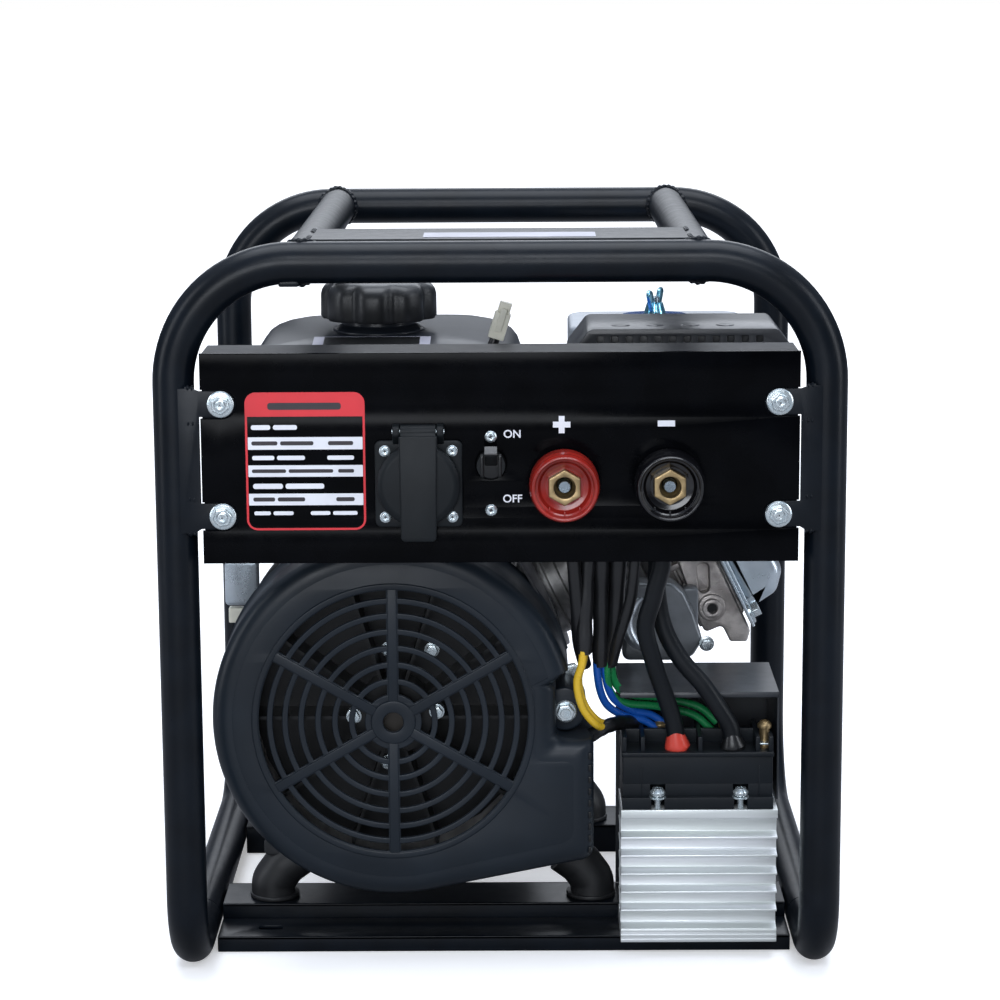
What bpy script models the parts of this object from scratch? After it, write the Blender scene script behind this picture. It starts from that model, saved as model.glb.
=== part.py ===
"""Engine driven welder: tube frame, control panel, rectifier, alternator and inclined engine.

Sizes are in millimetres and become metres when a body is made. X is to the right, Y runs from the
control panel to the starter, Z is up and the floor is Z = 0.
"""
import math

import bmesh
import bpy
import numpy as np

MM = 0.001
GAP = 0.3                      # clearance between touching pieces

# ---- driving dimensions ------------------------------------------------------------------------
BOX_SHIFT = 13.5               # puts the middle of the whole depth, knobs included, at Y = 0
TUBE_R, TUBE_WALL = 12.5, 1.6
LEG_X = 195.5
HOOP_Y = 192.5
TOP_Z = 446.5
TOP_BEND, FOOT_BEND = 72.0, 60.0
RAIL_JOINT_Y = -110.0
TOP_RAIL_X = 118.0

BASE_X = 182.6
BASE_LOW_Z, BASE_HIGH_Z = 10.0, 19.7
BASE_OUTER_Y, BASE_STEP_Y, BASE_INNER_Y = 143.0, 106.5, 63.0
BASE_SHEET = 2.0
MOUNTS = {"mount_front_left": (-150.0, -88.0, 1), "mount_front_right": (57.0, -88.0, -1),
          "mount_rear_left": (-150.0, 82.0, 1), "mount_rear_right": (57.0, 82.0, -1)}

CRANK_X, CRANK_Z = -67.5, 158.0
CRANK = (CRANK_X, CRANK_Z)
CYL_Y = 26.0                   # middle of the cylinder along the crankshaft
COVER_R, COVER_FRONT, COVER_BACK, COVER_WALL = 113.0, -168.0, -104.0, 3.0
LEAN = math.radians(26.0)      # the cylinder rises this much above horizontal

PANEL_X, PANEL_LOW, PANEL_HIGH = 178.5, 266.8, 394.0
FASCIA_FRONT, FASCIA_BACK = -205.5, -202.6
TRAY_FRONT, TRAY_BACK, TRAY_SHEET = -202.3, -164.0, 1.2
BOLT_X, BOLT_LOW, BOLT_HIGH = 166.3, 295.6, 363.6
EAR_TIP, EAR_HALF = 157.0, 8.6

SOCKET_X, SOCKET_Z, SOCKET_HALF = -48.7, 315.6, 26.1
BREAKER_X, BREAKER_Z = -5.6, 326.6
TERMINALS = {"plus": 38.0, "minus": 100.3}
TERMINAL_Z = 316.0

SINK_X0, SINK_X1 = 74.3, 172.6
SINK_FRONT, SINK_BACK = -157.0, -108.0
SINK_TOP = 97.3

TANK_X0, TANK_X1, TANK_Y, TANK_LOW, TANK_TOP = -165.0, 14.0, 104.0, 300.0, 384.0
CAP_X, CAP_Y = -80.0, -20.0
AIR_X, AIR_Y = 106.0, 90.0


# ---- scene and materials -----------------------------------------------------------------------
def clear_scene():
    for obj in list(bpy.data.objects):
        bpy.data.objects.remove(obj)


def material(name, colour, roughness, metallic):
    mat = bpy.data.materials.new(name)
    mat.use_nodes = True
    shader = mat.node_tree.nodes["Principled BSDF"]
    shader.inputs["Base Color"].default_value = (*colour, 1.0)
    shader.inputs["Roughness"].default_value = roughness
    shader.inputs["Metallic"].default_value = metallic
    mat.diffuse_color = (*colour, 1.0)
    return mat


FINISHES = {
    "powder_coat": ((0.012, 0.013, 0.015), 0.38, 0.0),
    "gloss_black": ((0.006, 0.006, 0.007), 0.15, 0.0),
    "black_plastic": ((0.014, 0.014, 0.016), 0.45, 0.0),
    "grey_plastic": ((0.16, 0.16, 0.17), 0.5, 0.0),
    "red_plastic": ((0.45, 0.03, 0.02), 0.3, 0.0),
    "rubber": ((0.015, 0.015, 0.015), 0.7, 0.0),
    "zinc": ((0.72, 0.75, 0.78), 0.3, 1.0),
    "steel": ((0.45, 0.46, 0.48), 0.35, 1.0),
    "brass": ((0.75, 0.55, 0.22), 0.3, 1.0),
    "aluminium": ((0.78, 0.79, 0.8), 0.35, 1.0),
    "cast_aluminium": ((0.5, 0.51, 0.52), 0.5, 1.0),
    "core_steel": ((0.3, 0.28, 0.26), 0.55, 1.0),
    "yellow_lead": ((0.75, 0.45, 0.02), 0.4, 0.0),
    "blue_lead": ((0.02, 0.08, 0.4), 0.4, 0.0),
    "green_lead": ((0.03, 0.25, 0.08), 0.4, 0.0),
}


# ---- shapes: each is (points, faces) of closed bodies, in millimetres ---------------------------
def box(low, high):
    corners = [(x, y, z) for x in (low[0], high[0]) for y in (low[1], high[1]) for z in (low[2], high[2])]
    faces = [(0, 1, 3, 2), (4, 6, 7, 5), (0, 4, 5, 1), (2, 3, 7, 6), (0, 2, 6, 4), (1, 5, 7, 3)]
    return corners, faces


def on_axis(axis, a, b, along):
    """Point whose two section coordinates are (a, b) and whose place along the axis is given."""
    return {"X": (along, a, b), "Y": (a, along, b), "Z": (a, b, along)}[axis]


def prism(outline, axis, start, end):
    """Flat outline carried straight along an axis."""
    n = len(outline)
    points = [on_axis(axis, a, b, start) for a, b in outline] + [on_axis(axis, a, b, end) for a, b in outline]
    faces = [tuple(range(n)), tuple(range(2 * n - 1, n - 1, -1))]
    faces += [(i, (i + 1) % n, n + (i + 1) % n, n + i) for i in range(n)]
    return points, faces


def turned(profile, centre, axis, sides, ring=False):
    """Profile of (radius, along) points turned about an axis; a ring's profile closes on itself."""
    points, rows = [], []
    for radius, along in profile:
        if radius == 0.0:
            rows.append([len(points)] * sides)
            points.append(on_axis(axis, centre[0], centre[1], along))
            continue
        rows.append([len(points) + k for k in range(sides)])
        for k in range(sides):
            turn = 2 * math.pi * (k + 0.5) / sides
            points.append(on_axis(axis, centre[0] + radius * math.cos(turn),
                                  centre[1] + radius * math.sin(turn), along))
    faces = []
    pairs = list(zip(rows, rows[1:])) + ([(rows[-1], rows[0])] if ring else [])
    for low, high in pairs:
        for k in range(sides):
            j = (k + 1) % sides
            face = []
            for index in (low[k], low[j], high[j], high[k]):
                if index not in face:
                    face.append(index)
            if len(face) > 2:
                faces.append(tuple(face))
    return points, faces


def rod(centre, axis, radius, start, end, sides=16):
    outline = [(centre[0] + radius * math.cos(2 * math.pi * (k + 0.5) / sides),
                centre[1] + radius * math.sin(2 * math.pi * (k + 0.5) / sides)) for k in range(sides)]
    return prism(outline, axis, start, end)


def pipe(centre, axis, outer, inner, start, end, sides=24):
    return turned([(outer, start), (outer, end), (inner, end), (inner, start)], centre, axis, sides, True)


def moved(shape, turn=0.0, pivot=(0.0, 0.0, 0.0), axis="Y", by=(0.0, 0.0, 0.0)):
    """Shape turned about an axis through the pivot, then shifted. About Y, +turn lifts +X towards +Z."""
    points = np.array(shape[0], float) - pivot
    i, j = {"X": (1, 2), "Y": (0, 2), "Z": (0, 1)}[axis]
    a, b = points[:, i].copy(), points[:, j].copy()
    points[:, i] = a * math.cos(turn) - b * math.sin(turn)
    points[:, j] = a * math.sin(turn) + b * math.cos(turn)
    return [tuple(p) for p in points + pivot + by], shape[1]


def together(*shapes):
    """Several bodies in one list, for a cutter made of many pieces."""
    points, faces = [], []
    for more, rows in shapes:
        base = len(points)
        points += list(more)
        faces += [tuple(base + i for i in row) for row in rows]
    return points, faces


def arc(centre, radius, start, end, steps):
    """Points on a circle from one angle to another, in degrees."""
    return [(centre[0] + radius * math.cos(math.radians(start + (end - start) * k / steps)),
             centre[1] + radius * math.sin(math.radians(start + (end - start) * k / steps)))
            for k in range(steps + 1)]


def rounded(x0, z0, x1, z1, radius, steps=3):
    """Rectangle outline with round corners."""
    return (arc((x1 - radius, z0 + radius), radius, -90, 0, steps)
            + arc((x1 - radius, z1 - radius), radius, 0, 90, steps)
            + arc((x0 + radius, z1 - radius), radius, 90, 180, steps)
            + arc((x0 + radius, z0 + radius), radius, 180, 270, steps))


def bent(corners, bends, steps=4):
    """Route through corner points, each inner corner rounded to its bend radius."""
    corners = [np.array(c, float) for c in corners]
    route = [corners[0]]
    for before, corner, after, radius in zip(corners, corners[1:], corners[2:], bends):
        back = (before - corner) / np.linalg.norm(before - corner)
        ahead = (after - corner) / np.linalg.norm(after - corner)
        half = math.acos(float(np.clip(back @ ahead, -1, 1))) / 2
        reach = radius / math.tan(half)
        middle = corner + (back + ahead) / np.linalg.norm(back + ahead) * radius / math.sin(half)
        start, end = corner + back * reach - middle, corner + ahead * reach - middle
        sweep = math.pi - 2 * half
        for k in range(steps + 1):
            t = k / steps
            spoke = (math.sin((1 - t) * sweep) * start + math.sin(t * sweep) * end) / math.sin(sweep)
            route.append(middle + spoke)
    route.append(corners[-1])
    return route


def tube(route, radius, bore, sides=12):
    """Round tube along a route, its wall open at both ends."""
    route = np.array(route, float)
    ahead = np.gradient(route, axis=0)
    ahead[0], ahead[-1] = route[1] - route[0], route[-1] - route[-2]
    ahead /= np.linalg.norm(ahead, axis=1)[:, None]
    side = np.cross(ahead[0], (0, 0, 1) if abs(ahead[0][2]) < 0.9 else (1, 0, 0))
    points, count = [], len(route)
    for place, way in zip(route, ahead):
        side = side - way * (side @ way)
        side /= np.linalg.norm(side)
        up = np.cross(way, side)
        for r in (radius, bore):
            for k in range(sides):
                turn = 2 * math.pi * k / sides
                points.append(tuple(place + r * (math.cos(turn) * side + math.sin(turn) * up)))
    faces = []
    for row in range(count - 1):
        for wall in (0, sides):
            low, high = row * 2 * sides + wall, (row + 1) * 2 * sides + wall
            for k in range(sides):
                j = (k + 1) % sides
                faces.append((low + k, low + j, high + j, high + k))
    for base in (0, (count - 1) * 2 * sides):
        for k in range(sides):
            j = (k + 1) % sides
            faces.append((base + k, base + j, base + sides + j, base + sides + k))
    return points, faces


# ---- bodies --------------------------------------------------------------------------------------
def mesh_of(shape, name):
    """Mesh in millimetres with its faces pointing out."""
    mesh = bpy.data.meshes.new(name)
    mesh.from_pydata([tuple(float(v) for v in p) for p in shape[0]], [], shape[1])
    bm = bmesh.new()
    bm.from_mesh(mesh)
    bmesh.ops.recalc_face_normals(bm, faces=bm.faces)
    bm.to_mesh(mesh)
    bm.free()
    return mesh


def combine(shape, others, operation):
    """Shape after a Boolean with each other shape in turn."""
    if not others:
        return shape
    made = []
    target = bpy.data.objects.new("target", mesh_of(shape, "target"))
    bpy.context.scene.collection.objects.link(target)
    made.append(target)
    for other in others:
        tool = bpy.data.objects.new("tool", mesh_of(other, "tool"))
        bpy.context.scene.collection.objects.link(tool)
        made.append(tool)
        step = target.modifiers.new("step", "BOOLEAN")
        step.operation = operation
        step.solver = "EXACT"
        step.object = tool
    ready = target.evaluated_get(bpy.context.evaluated_depsgraph_get())
    result = bpy.data.meshes.new_from_object(ready)
    points = [tuple(v.co) for v in result.vertices]
    faces = [tuple(p.vertices) for p in result.polygons]
    meshes = [obj.data for obj in made]
    for obj in made:
        bpy.data.objects.remove(obj)
    for mesh in meshes + [result]:
        bpy.data.meshes.remove(mesh)
    return points, faces


def union(shape, *others):
    return combine(shape, others, "UNION")


def cut(shape, *others):
    return combine(shape, others, "DIFFERENCE")


def body(name, shape, finish, pivot=(0.0, 0.0, 0.0)):
    """Named solid with its own material; its origin is the pivot that it turns or slides on."""
    points = [((x - pivot[0]) * MM, (y - pivot[1]) * MM, (z - pivot[2]) * MM) for x, y, z in shape[0]]
    mesh = mesh_of((points, shape[1]), name)
    mesh.shade_smooth()
    mesh.set_sharp_from_angle(angle=math.radians(35))
    mesh.materials.append(material(name + "_" + finish, *FINISHES[finish]))
    obj = bpy.data.objects.new(name, mesh)
    bpy.context.scene.collection.objects.link(obj)
    obj.parent = MACHINE
    obj.location = [v * MM for v in pivot]
    return obj


def lead(name, route, diameter, finish):
    """Round cable on a smooth curve through the route's points."""
    route = [np.array(p, float) for p in route]
    ends = [2 * route[0] - route[1]] + route + [2 * route[-1] - route[-2]]
    samples = []
    for a, b, c, d in zip(ends, ends[1:], ends[2:], ends[3:]):
        pieces = max(2, round(float(np.linalg.norm(c - b)) / (2.2 * diameter)))
        for k in range(pieces):
            t = k / pieces
            samples.append(0.5 * (2 * b + (c - a) * t + (2 * a - 5 * b + 4 * c - d) * t ** 2
                                  + (3 * b - a - 3 * c + d) * t ** 3))
    samples.append(route[-1])
    curve = bpy.data.curves.new(name, "CURVE")
    curve.dimensions = "3D"
    curve.bevel_depth = diameter / 2 * MM
    curve.bevel_resolution = 2
    curve.render_resolution_u = 0
    curve.use_fill_caps = True
    spline = curve.splines.new("POLY")
    spline.points.add(len(samples) - 1)
    for point, place in zip(spline.points, samples):
        point.co = (*(place * MM), 1.0)
    curve.materials.append(material(name + "_" + finish, *FINISHES[finish]))
    obj = bpy.data.objects.new(name, curve)
    bpy.context.scene.collection.objects.link(obj)
    obj.parent = MACHINE
    return obj


# ---- frame ---------------------------------------------------------------------------------------
def panel_bracket(side):
    """Plate welded to a front leg; its two ears reach into the fascia's notches."""
    ear, post_x, wall_x = EAR_HALF - 0.8, PANEL_X + 0.4, 190.0
    low, high = BOLT_LOW - 10.5, BOLT_HIGH + 9.5
    outline = [(wall_x, low), (wall_x, high), (post_x, high), (post_x, BOLT_HIGH + ear)]
    outline += arc((EAR_TIP + EAR_HALF, BOLT_HIGH), ear, 90, 270, 6)
    outline += [(post_x, BOLT_HIGH - ear), (post_x, BOLT_LOW + ear)]
    outline += arc((EAR_TIP + EAR_HALF, BOLT_LOW), ear, 90, 270, 6)
    outline += [(post_x, BOLT_LOW - ear), (post_x, low)]
    plate = prism([(side * a, b) for a, b in outline], "Y", FASCIA_FRONT + 1.0, FASCIA_BACK)
    bores = [rod((side * BOLT_X, z), "Y", 3.4, FASCIA_FRONT - 1, FASCIA_BACK + 1, 10)
             for z in (BOLT_LOW, BOLT_HIGH)]
    return cut(plate, together(*bores))


def frame_tubes():
    """Two bent hoops whose feet run into each other along the floor, and two rails across the top."""
    floor = TUBE_R
    for name, hoop_y, joint in (("front_hoop", -HOOP_Y, RAIL_JOINT_Y), ("rear_hoop", HOOP_Y, RAIL_JOINT_Y + GAP)):
        corners = [(-LEG_X, joint, floor), (-LEG_X, hoop_y, floor), (-LEG_X, hoop_y, TOP_Z),
                   (LEG_X, hoop_y, TOP_Z), (LEG_X, hoop_y, floor), (LEG_X, joint, floor)]
        route = bent(corners, [FOOT_BEND, TOP_BEND, TOP_BEND, FOOT_BEND])
        shape = tube(route, TUBE_R, TUBE_R - TUBE_WALL)
        if name == "front_hoop":
            shape = union(shape, panel_bracket(-1), panel_bracket(1))
        body(name, shape, "powder_coat")
    end_y = HOOP_Y - TUBE_R - GAP
    for name, side in (("top_rail_left", -1), ("top_rail_right", 1)):
        route = [(side * TOP_RAIL_X, -end_y, TOP_Z), (side * TOP_RAIL_X, end_y, TOP_Z)]
        body(name, tube(route, TUBE_R, TUBE_R - TUBE_WALL), "powder_coat")
    inner = TOP_RAIL_X - 8.8
    body("top_plate", box((-inner, -178.0, 456.0), (inner, -112.0, 458.0)), "powder_coat")


def base_members():
    """Folded steel members between the floor rails; the higher step carries the rubber mounts."""
    low, high, t = BASE_LOW_Z, BASE_HIGH_Z, BASE_SHEET
    for name, side in (("front_base_rail", -1), ("rear_base_rail", 1)):
        outer, step, inner = side * BASE_OUTER_Y, side * BASE_STEP_Y, side * BASE_INNER_Y
        outline = [(outer, 0.0), (outer, low), (step, low), (step, high), (inner, high), (inner, 0.0),
                   (inner + side * t, 0.0), (inner + side * t, high - t), (step - side * t, high - t),
                   (step - side * t, low - t), (outer - side * t, low - t), (outer - side * t, 0.0)]
        body(name, prism(outline, "X", -BASE_X, BASE_X), "powder_coat")


def rubber_mounts():
    """Bonded rubber blocks that lean in under the alternator and the engine."""
    foot = BASE_HIGH_Z + GAP
    for name, (x, y, lean) in MOUNTS.items():
        flange = rod((x, y), "Z", 16.0, foot, foot + 3.0, 16)
        barrel = turned([(0.0, -3.0), (12.0, -3.0), (14.5, 8.0), (14.5, 15.0), (12.0, 25.0), (0.0, 25.0)],
                        (0.0, 0.0), "Z", 14)
        barrel = moved(barrel, turn=-lean * math.radians(38), axis="Y", by=(x - 2 * lean, y, foot + 2.0))
        cap_cut = box((x - 60, y - 30, foot - 30), (x + 60, y + 30, foot))
        body(name, cut(union(flange, barrel), cap_cut), "rubber")


# ---- control panel -------------------------------------------------------------------------------
def panel_holes(front, back):
    """Openings through the panel for the socket, the breaker and the two terminals."""
    holes = [rod((SOCKET_X, SOCKET_Z), "Y", 21.0, front, back, 20),
             rod((BREAKER_X, BREAKER_Z), "Y", 9.0, front, back, 16)]
    holes += [rod((x, TERMINAL_Z), "Y", 14.0, front, back, 16) for x in TERMINALS.values()]
    return together(*holes)


def control_panel():
    """Folded steel tray with a gloss fascia, held by brackets on the front legs."""
    t = TRAY_SHEET
    x, low, high = PANEL_X - 1.0, PANEL_LOW + 0.5, PANEL_HIGH - 0.5
    shell = cut(box((-x, TRAY_FRONT, low), (x, TRAY_BACK, high)),
                box((-x + t, TRAY_FRONT + t, low + t), (x - t, TRAY_BACK + 5, high - t)))
    shell = cut(shell, panel_holes(TRAY_FRONT - 2, TRAY_FRONT + 4),
                box((-150.0, -190.0, low - 2), (150.0, TRAY_BACK + 2, low + 3)))
    body("control_panel", shell, "powder_coat")

    fascia = prism([(-PANEL_X, PANEL_LOW), (PANEL_X, PANEL_LOW), (PANEL_X, PANEL_HIGH), (-PANEL_X, PANEL_HIGH)],
                   "Y", FASCIA_FRONT, FASCIA_BACK)
    notches = []
    for side in (-1, 1):
        for z in (BOLT_LOW, BOLT_HIGH):
            outline = arc((EAR_TIP + EAR_HALF, z), EAR_HALF, 270, 90, 6)
            outline += [(190.0, z + EAR_HALF), (190.0, z - EAR_HALF)]
            outline = [(side * a, b) for a, b in outline]
            notches.append(prism(outline, "Y", FASCIA_FRONT - 2, FASCIA_BACK + 2))
    body("panel_fascia", cut(fascia, together(*notches), panel_holes(FASCIA_FRONT - 2, FASCIA_BACK + 2)),
         "gloss_black")


def socket():
    """Panel socket for two-pin plugs with a sprung lid on a horizontal pin."""
    front = FASCIA_FRONT - GAP
    hinge_y, hinge_z, half = front - 5.6, SOCKET_Z + 32.0, SOCKET_HALF
    plate = prism(rounded(SOCKET_X - half, SOCKET_Z - half, SOCKET_X + half, SOCKET_Z + half, 5.0), "Y",
                  front - 3.0, front)
    barrel = rod((SOCKET_X, SOCKET_Z), "Y", 20.5, front - 1.0, front + 26.0, 20)
    lugs = [rod((hinge_y, hinge_z), "X", 4.2, SOCKET_X + a, SOCKET_X + b, 12) for a, b in ((-15, -11), (11, 15))]
    webs = []
    for a, b in ((-15, -11), (11, 15)):
        webs += [box((SOCKET_X + a, front - 2.8, SOCKET_Z + 20.0), (SOCKET_X + b, front - 0.2, hinge_z + 3.4)),
                 box((SOCKET_X + a, hinge_y, hinge_z - 3.5), (SOCKET_X + b, front - 1.0, hinge_z + 3.5))]
    well = rod((SOCKET_X, SOCKET_Z), "Y", 19.0, front - 6.0, front + 18.0, 20)
    pin_bore = rod((hinge_y, hinge_z), "X", 1.7, SOCKET_X - 20, SOCKET_X + 20, 8)
    shape = cut(union(plate, barrel, *lugs, *webs), well, pin_bore)
    body("socket_body", shape, "black_plastic")

    back = front - 3.4
    disc = turned([(0, back - 6.5), (21.0, back - 6.5), (25.0, back - 4.5), (25.0, back), (0, back)],
                  (SOCKET_X, SOCKET_Z), "Y", 24)
    strap = box((SOCKET_X - 10.5, back - 8.0, SOCKET_Z - 33.5), (SOCKET_X + 10.5, back - 1.5, hinge_z - 1.0))
    knuckle = rod((hinge_y, hinge_z), "X", 4.4, SOCKET_X - 10.5, SOCKET_X + 10.5, 12)
    shape = cut(union(disc, strap, knuckle), pin_bore)
    body("socket_lid", shape, "grey_plastic", (SOCKET_X, hinge_y, hinge_z))


def breaker():
    """Thermal breaker with a short toggle; up is on."""
    front = FASCIA_FRONT - GAP
    boss = rod((BREAKER_X, BREAKER_Z), "Y", 8.5, front - 5.0, front + 10.0, 16)
    case = box((BREAKER_X - 9.0, TRAY_FRONT + TRAY_SHEET + GAP, BREAKER_Z - 30.0),
               (BREAKER_X + 9.0, TRAY_FRONT + 34.0, BREAKER_Z + 24.0))
    slot = union(box((BREAKER_X - 4.4, front - 12.0, BREAKER_Z - 10.0), (BREAKER_X + 4.4, front, BREAKER_Z + 10.0)),
                 box((BREAKER_X - 4.4, front - 1.0, BREAKER_Z - 6.6), (BREAKER_X + 4.4, front + 9.0, BREAKER_Z + 6.6)))
    body("breaker_body", cut(union(boss, case), slot), "black_plastic")

    pivot = (BREAKER_X, front + 2.0, BREAKER_Z)
    lever = [(-3.6, -3.2), (-16.0, -2.4), (-17.2, -1.2), (-17.2, 1.2), (-16.0, 2.4), (-3.6, 3.2)]
    lever = prism([(pivot[1] + a, BREAKER_Z + b) for a, b in lever], "X", BREAKER_X - 3.75, BREAKER_X + 3.75)
    hub = rod((pivot[1], BREAKER_Z), "X", 4.6, BREAKER_X - 3.75, BREAKER_X + 3.75, 16)
    shape = moved(union(hub, lever), turn=math.radians(-38), pivot=pivot, axis="X")
    body("breaker_toggle", shape, "grey_plastic", pivot)


def terminals():
    """Weld terminals: an insulating bush, a fixed stud, and a cupped knob with a brass insert."""
    front = FASCIA_FRONT - GAP
    for pole, x in TERMINALS.items():
        centre = (x, TERMINAL_Z)
        stud = turned([(0, front - 17.0), (3.2, front - 17.0), (4.0, front - 16.0), (4.0, front + 9.4),
                       (9.0, front + 9.4), (9.0, front + 14.0), (4.0, front + 14.0), (4.0, front + 26.0),
                       (0, front + 26.0)], centre, "Y", 12)
        body("terminal_stud_" + pole, stud, "steel")
        back = front - 3.0
        knob = turned([(20.7, back - 21.0), (20.7, back - 3.0), (19.5, back), (7.5, back), (7.5, back - 13.0),
                       (16.4, back - 13.0), (17.4, back - 23.2), (19.6, back - 23.2)], centre, "Y", 24, True)
        hexagon = rod(centre, "Y", 11.2, back - 20.0, back - 9.0, 6)
        colour = "red_plastic" if pole == "plus" else "black_plastic"
        pivot = (x, back, TERMINAL_Z)
        body("terminal_knob_" + pole, cut(knob, hexagon), colour, pivot)
        insert = rod(centre, "Y", 10.9, back - 18.0, back - 9.3, 6)
        sleeve = rod(centre, "Y", 7.1, back - 12.0, back - 0.5, 16)
        bore = rod(centre, "Y", 4.6, back - 30.0, back + 5.0, 12)
        mouth = rod(centre, "Y", 6.6, back - 30.0, back - 13.0, 16)
        body("terminal_insert_" + pole, cut(union(insert, sleeve), bore, mouth), "brass", pivot)


# ---- rectifier -----------------------------------------------------------------------------------
def rectifier():
    """Finned extrusion with a three-phase module on top, under a folded guard."""
    floor = BASE_LOW_Z + GAP
    web = 4.0
    front_root, back_root = SINK_FRONT + 15.0, SINK_BACK - 15.0
    block = box((SINK_X0, front_root, floor), (SINK_X1, back_root, SINK_TOP))
    foot = box((SINK_X0, SINK_FRONT, floor), (SINK_X1, SINK_BACK, floor + 9.4))
    top = box((SINK_X0, SINK_FRONT, SINK_TOP - 5.7), (SINK_X1, SINK_BACK + 4.0, SINK_TOP))
    pitch, tip = 11.9, 2.6
    fins = [box((SINK_X0, SINK_FRONT, 32.0 + k * pitch - tip), (SINK_X1, SINK_BACK, 32.0 + k * pitch))
            for k in range(5)]
    hollow = box((SINK_X0 - 5, front_root + web, floor + 9.4), (SINK_X1 + 5, back_root - web, SINK_TOP - 5.7))
    body("heat_sink", cut(union(block, foot, top, *fins), hollow), "aluminium")

    low = SINK_TOP + GAP
    x0, x1 = SINK_X0 + 2.2, SINK_X1 - 2.2
    flange = box((x0, SINK_FRONT, low), (x1, SINK_BACK + 3.0, low + 9.7))
    block = box((x0, SINK_FRONT + 5.0, low + 5.0), (x1, SINK_BACK - 2.0, 133.0))
    ribs = [box((x - 1.4, SINK_FRONT + 4.0, low + 5.0), (x + 1.4, SINK_BACK - 1.0, 143.0))
            for x in (x0 + 1.4, 88.0, 124.0, 160.0, x1 - 1.4)]
    wall = box((x0, SINK_FRONT + 26.0, low + 5.0), (x1, SINK_FRONT + 29.0, 143.0))
    notches = [box((x - 4.5, SINK_FRONT - 5.0, low - 2), (x + 4.5, SINK_FRONT + 12.0, low + 12.0))
               for x in (97.3, 149.3)]
    body("rectifier_module", cut(union(flange, block, *ribs, wall), together(*notches)), "black_plastic")

    t, roof, x0, x1, front, back = 1.2, 169.5, 74.0, 174.0, -142.0, -64.5
    guard = union(box((x0, front, roof - t), (x1, back, roof)),
                  box((x0, back - t, BASE_HIGH_Z + GAP), (x1, back, roof - 0.1)),
                  box((x1 - t, front, 99.0), (x1, back - 0.1, roof - 0.1)))
    body("rectifier_guard", guard, "powder_coat")


def wiring():
    """Two weld cables and three phase leads, held between the panel, the alternator and the module."""
    plus, minus = TERMINALS["plus"], TERMINALS["minus"]
    lead("weld_cable_plus", [(plus, -175.0, 306.0), (58.0, -174.0, 284.0), (96.0, -172.0, 266.0),
                             (94.0, -169.0, 240.0), (88.8, -164.0, 217.0), (93.9, -158.0, 194.3),
                             (101.2, -152.0, 171.5), (107.0, -148.0, 153.0), (109.8, -146.0, 136.0)],
         11.2, "rubber")
    lead("weld_cable_minus", [(minus, -159.0, 306.0), (97.0, -152.0, 270.0), (96.5, -149.0, 238.0),
                              (101.0, -149.0, 213.0), (111.5, -150.0, 193.0), (125.0, -150.5, 177.0),
                              (135.0, -149.0, 162.0), (142.5, -147.0, 149.0), (145.0, -146.0, 136.0)],
         11.2, "rubber")
    lead("phase_lead_yellow", [(53.3, -160.0, 262.0), (51.8, -158.0, 228.0), (50.6, -156.0, 196.0),
                               (47.2, -153.5, 180.0), (50.4, -152.5, 164.5), (57.8, -148.0, 153.0),
                               (65.0, -139.0, 147.5), (75.0, -129.0, 147.0), (84.0, -117.0, 143.6)], 5.0, "yellow_lead")
    lead("phase_lead_blue", [(61.9, -160.0, 262.0), (61.7, -148.0, 220.0), (62.0, -137.0, 184.0),
                             (67.0, -128.0, 162.0), (79.0, -121.0, 151.0), (92.0, -118.0, 147.0),
                             (101.0, -118.0, 141.0)], 5.0, "blue_lead")
    lead("phase_lead_green", [(72.5, -160.0, 262.0), (71.0, -146.0, 215.0), (67.5, -134.0, 184.0),
                              (70.5, -126.0, 168.0), (80.0, -121.0, 160.0), (100.0, -118.0, 157.0),
                              (123.0, -117.0, 151.0),
                              (135.0, -118.0, 141.0)], 5.0, "green_lead")


# ---- alternator ----------------------------------------------------------------------------------
def leant(s, t):
    """Point in X and Z at s along the cylinder's lean and t across it, from the crank axis."""
    return (CRANK_X + s * math.cos(LEAN) - t * math.sin(LEAN),
            CRANK_Z + s * math.sin(LEAN) + t * math.cos(LEAN))


def cover_outline(inset):
    """Fan cover's outer line: a circle with an outlet box at its lower right."""
    cx, cz = CRANK
    r = COVER_R - inset
    right, sill = cx + 124.5 - inset, cz - 92.0 + inset
    shelf = cz - 14.0 - inset
    outline = arc(CRANK, r, -math.degrees(math.asin((cz - shelf) / r)), 282, 36)
    outline += arc((right - 8.0, sill + 8.0), 8.0, -75, 0, 4)
    outline += [(right, shelf)]
    return outline


def sector(inner, outer, start, end, front, back, steps):
    """Curved block between two radii and two angles round the crank axis."""
    outline = arc(CRANK, outer, start, end, steps) + arc(CRANK, inner, end, start, steps)
    return prism(outline, "Y", front, back)


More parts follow.
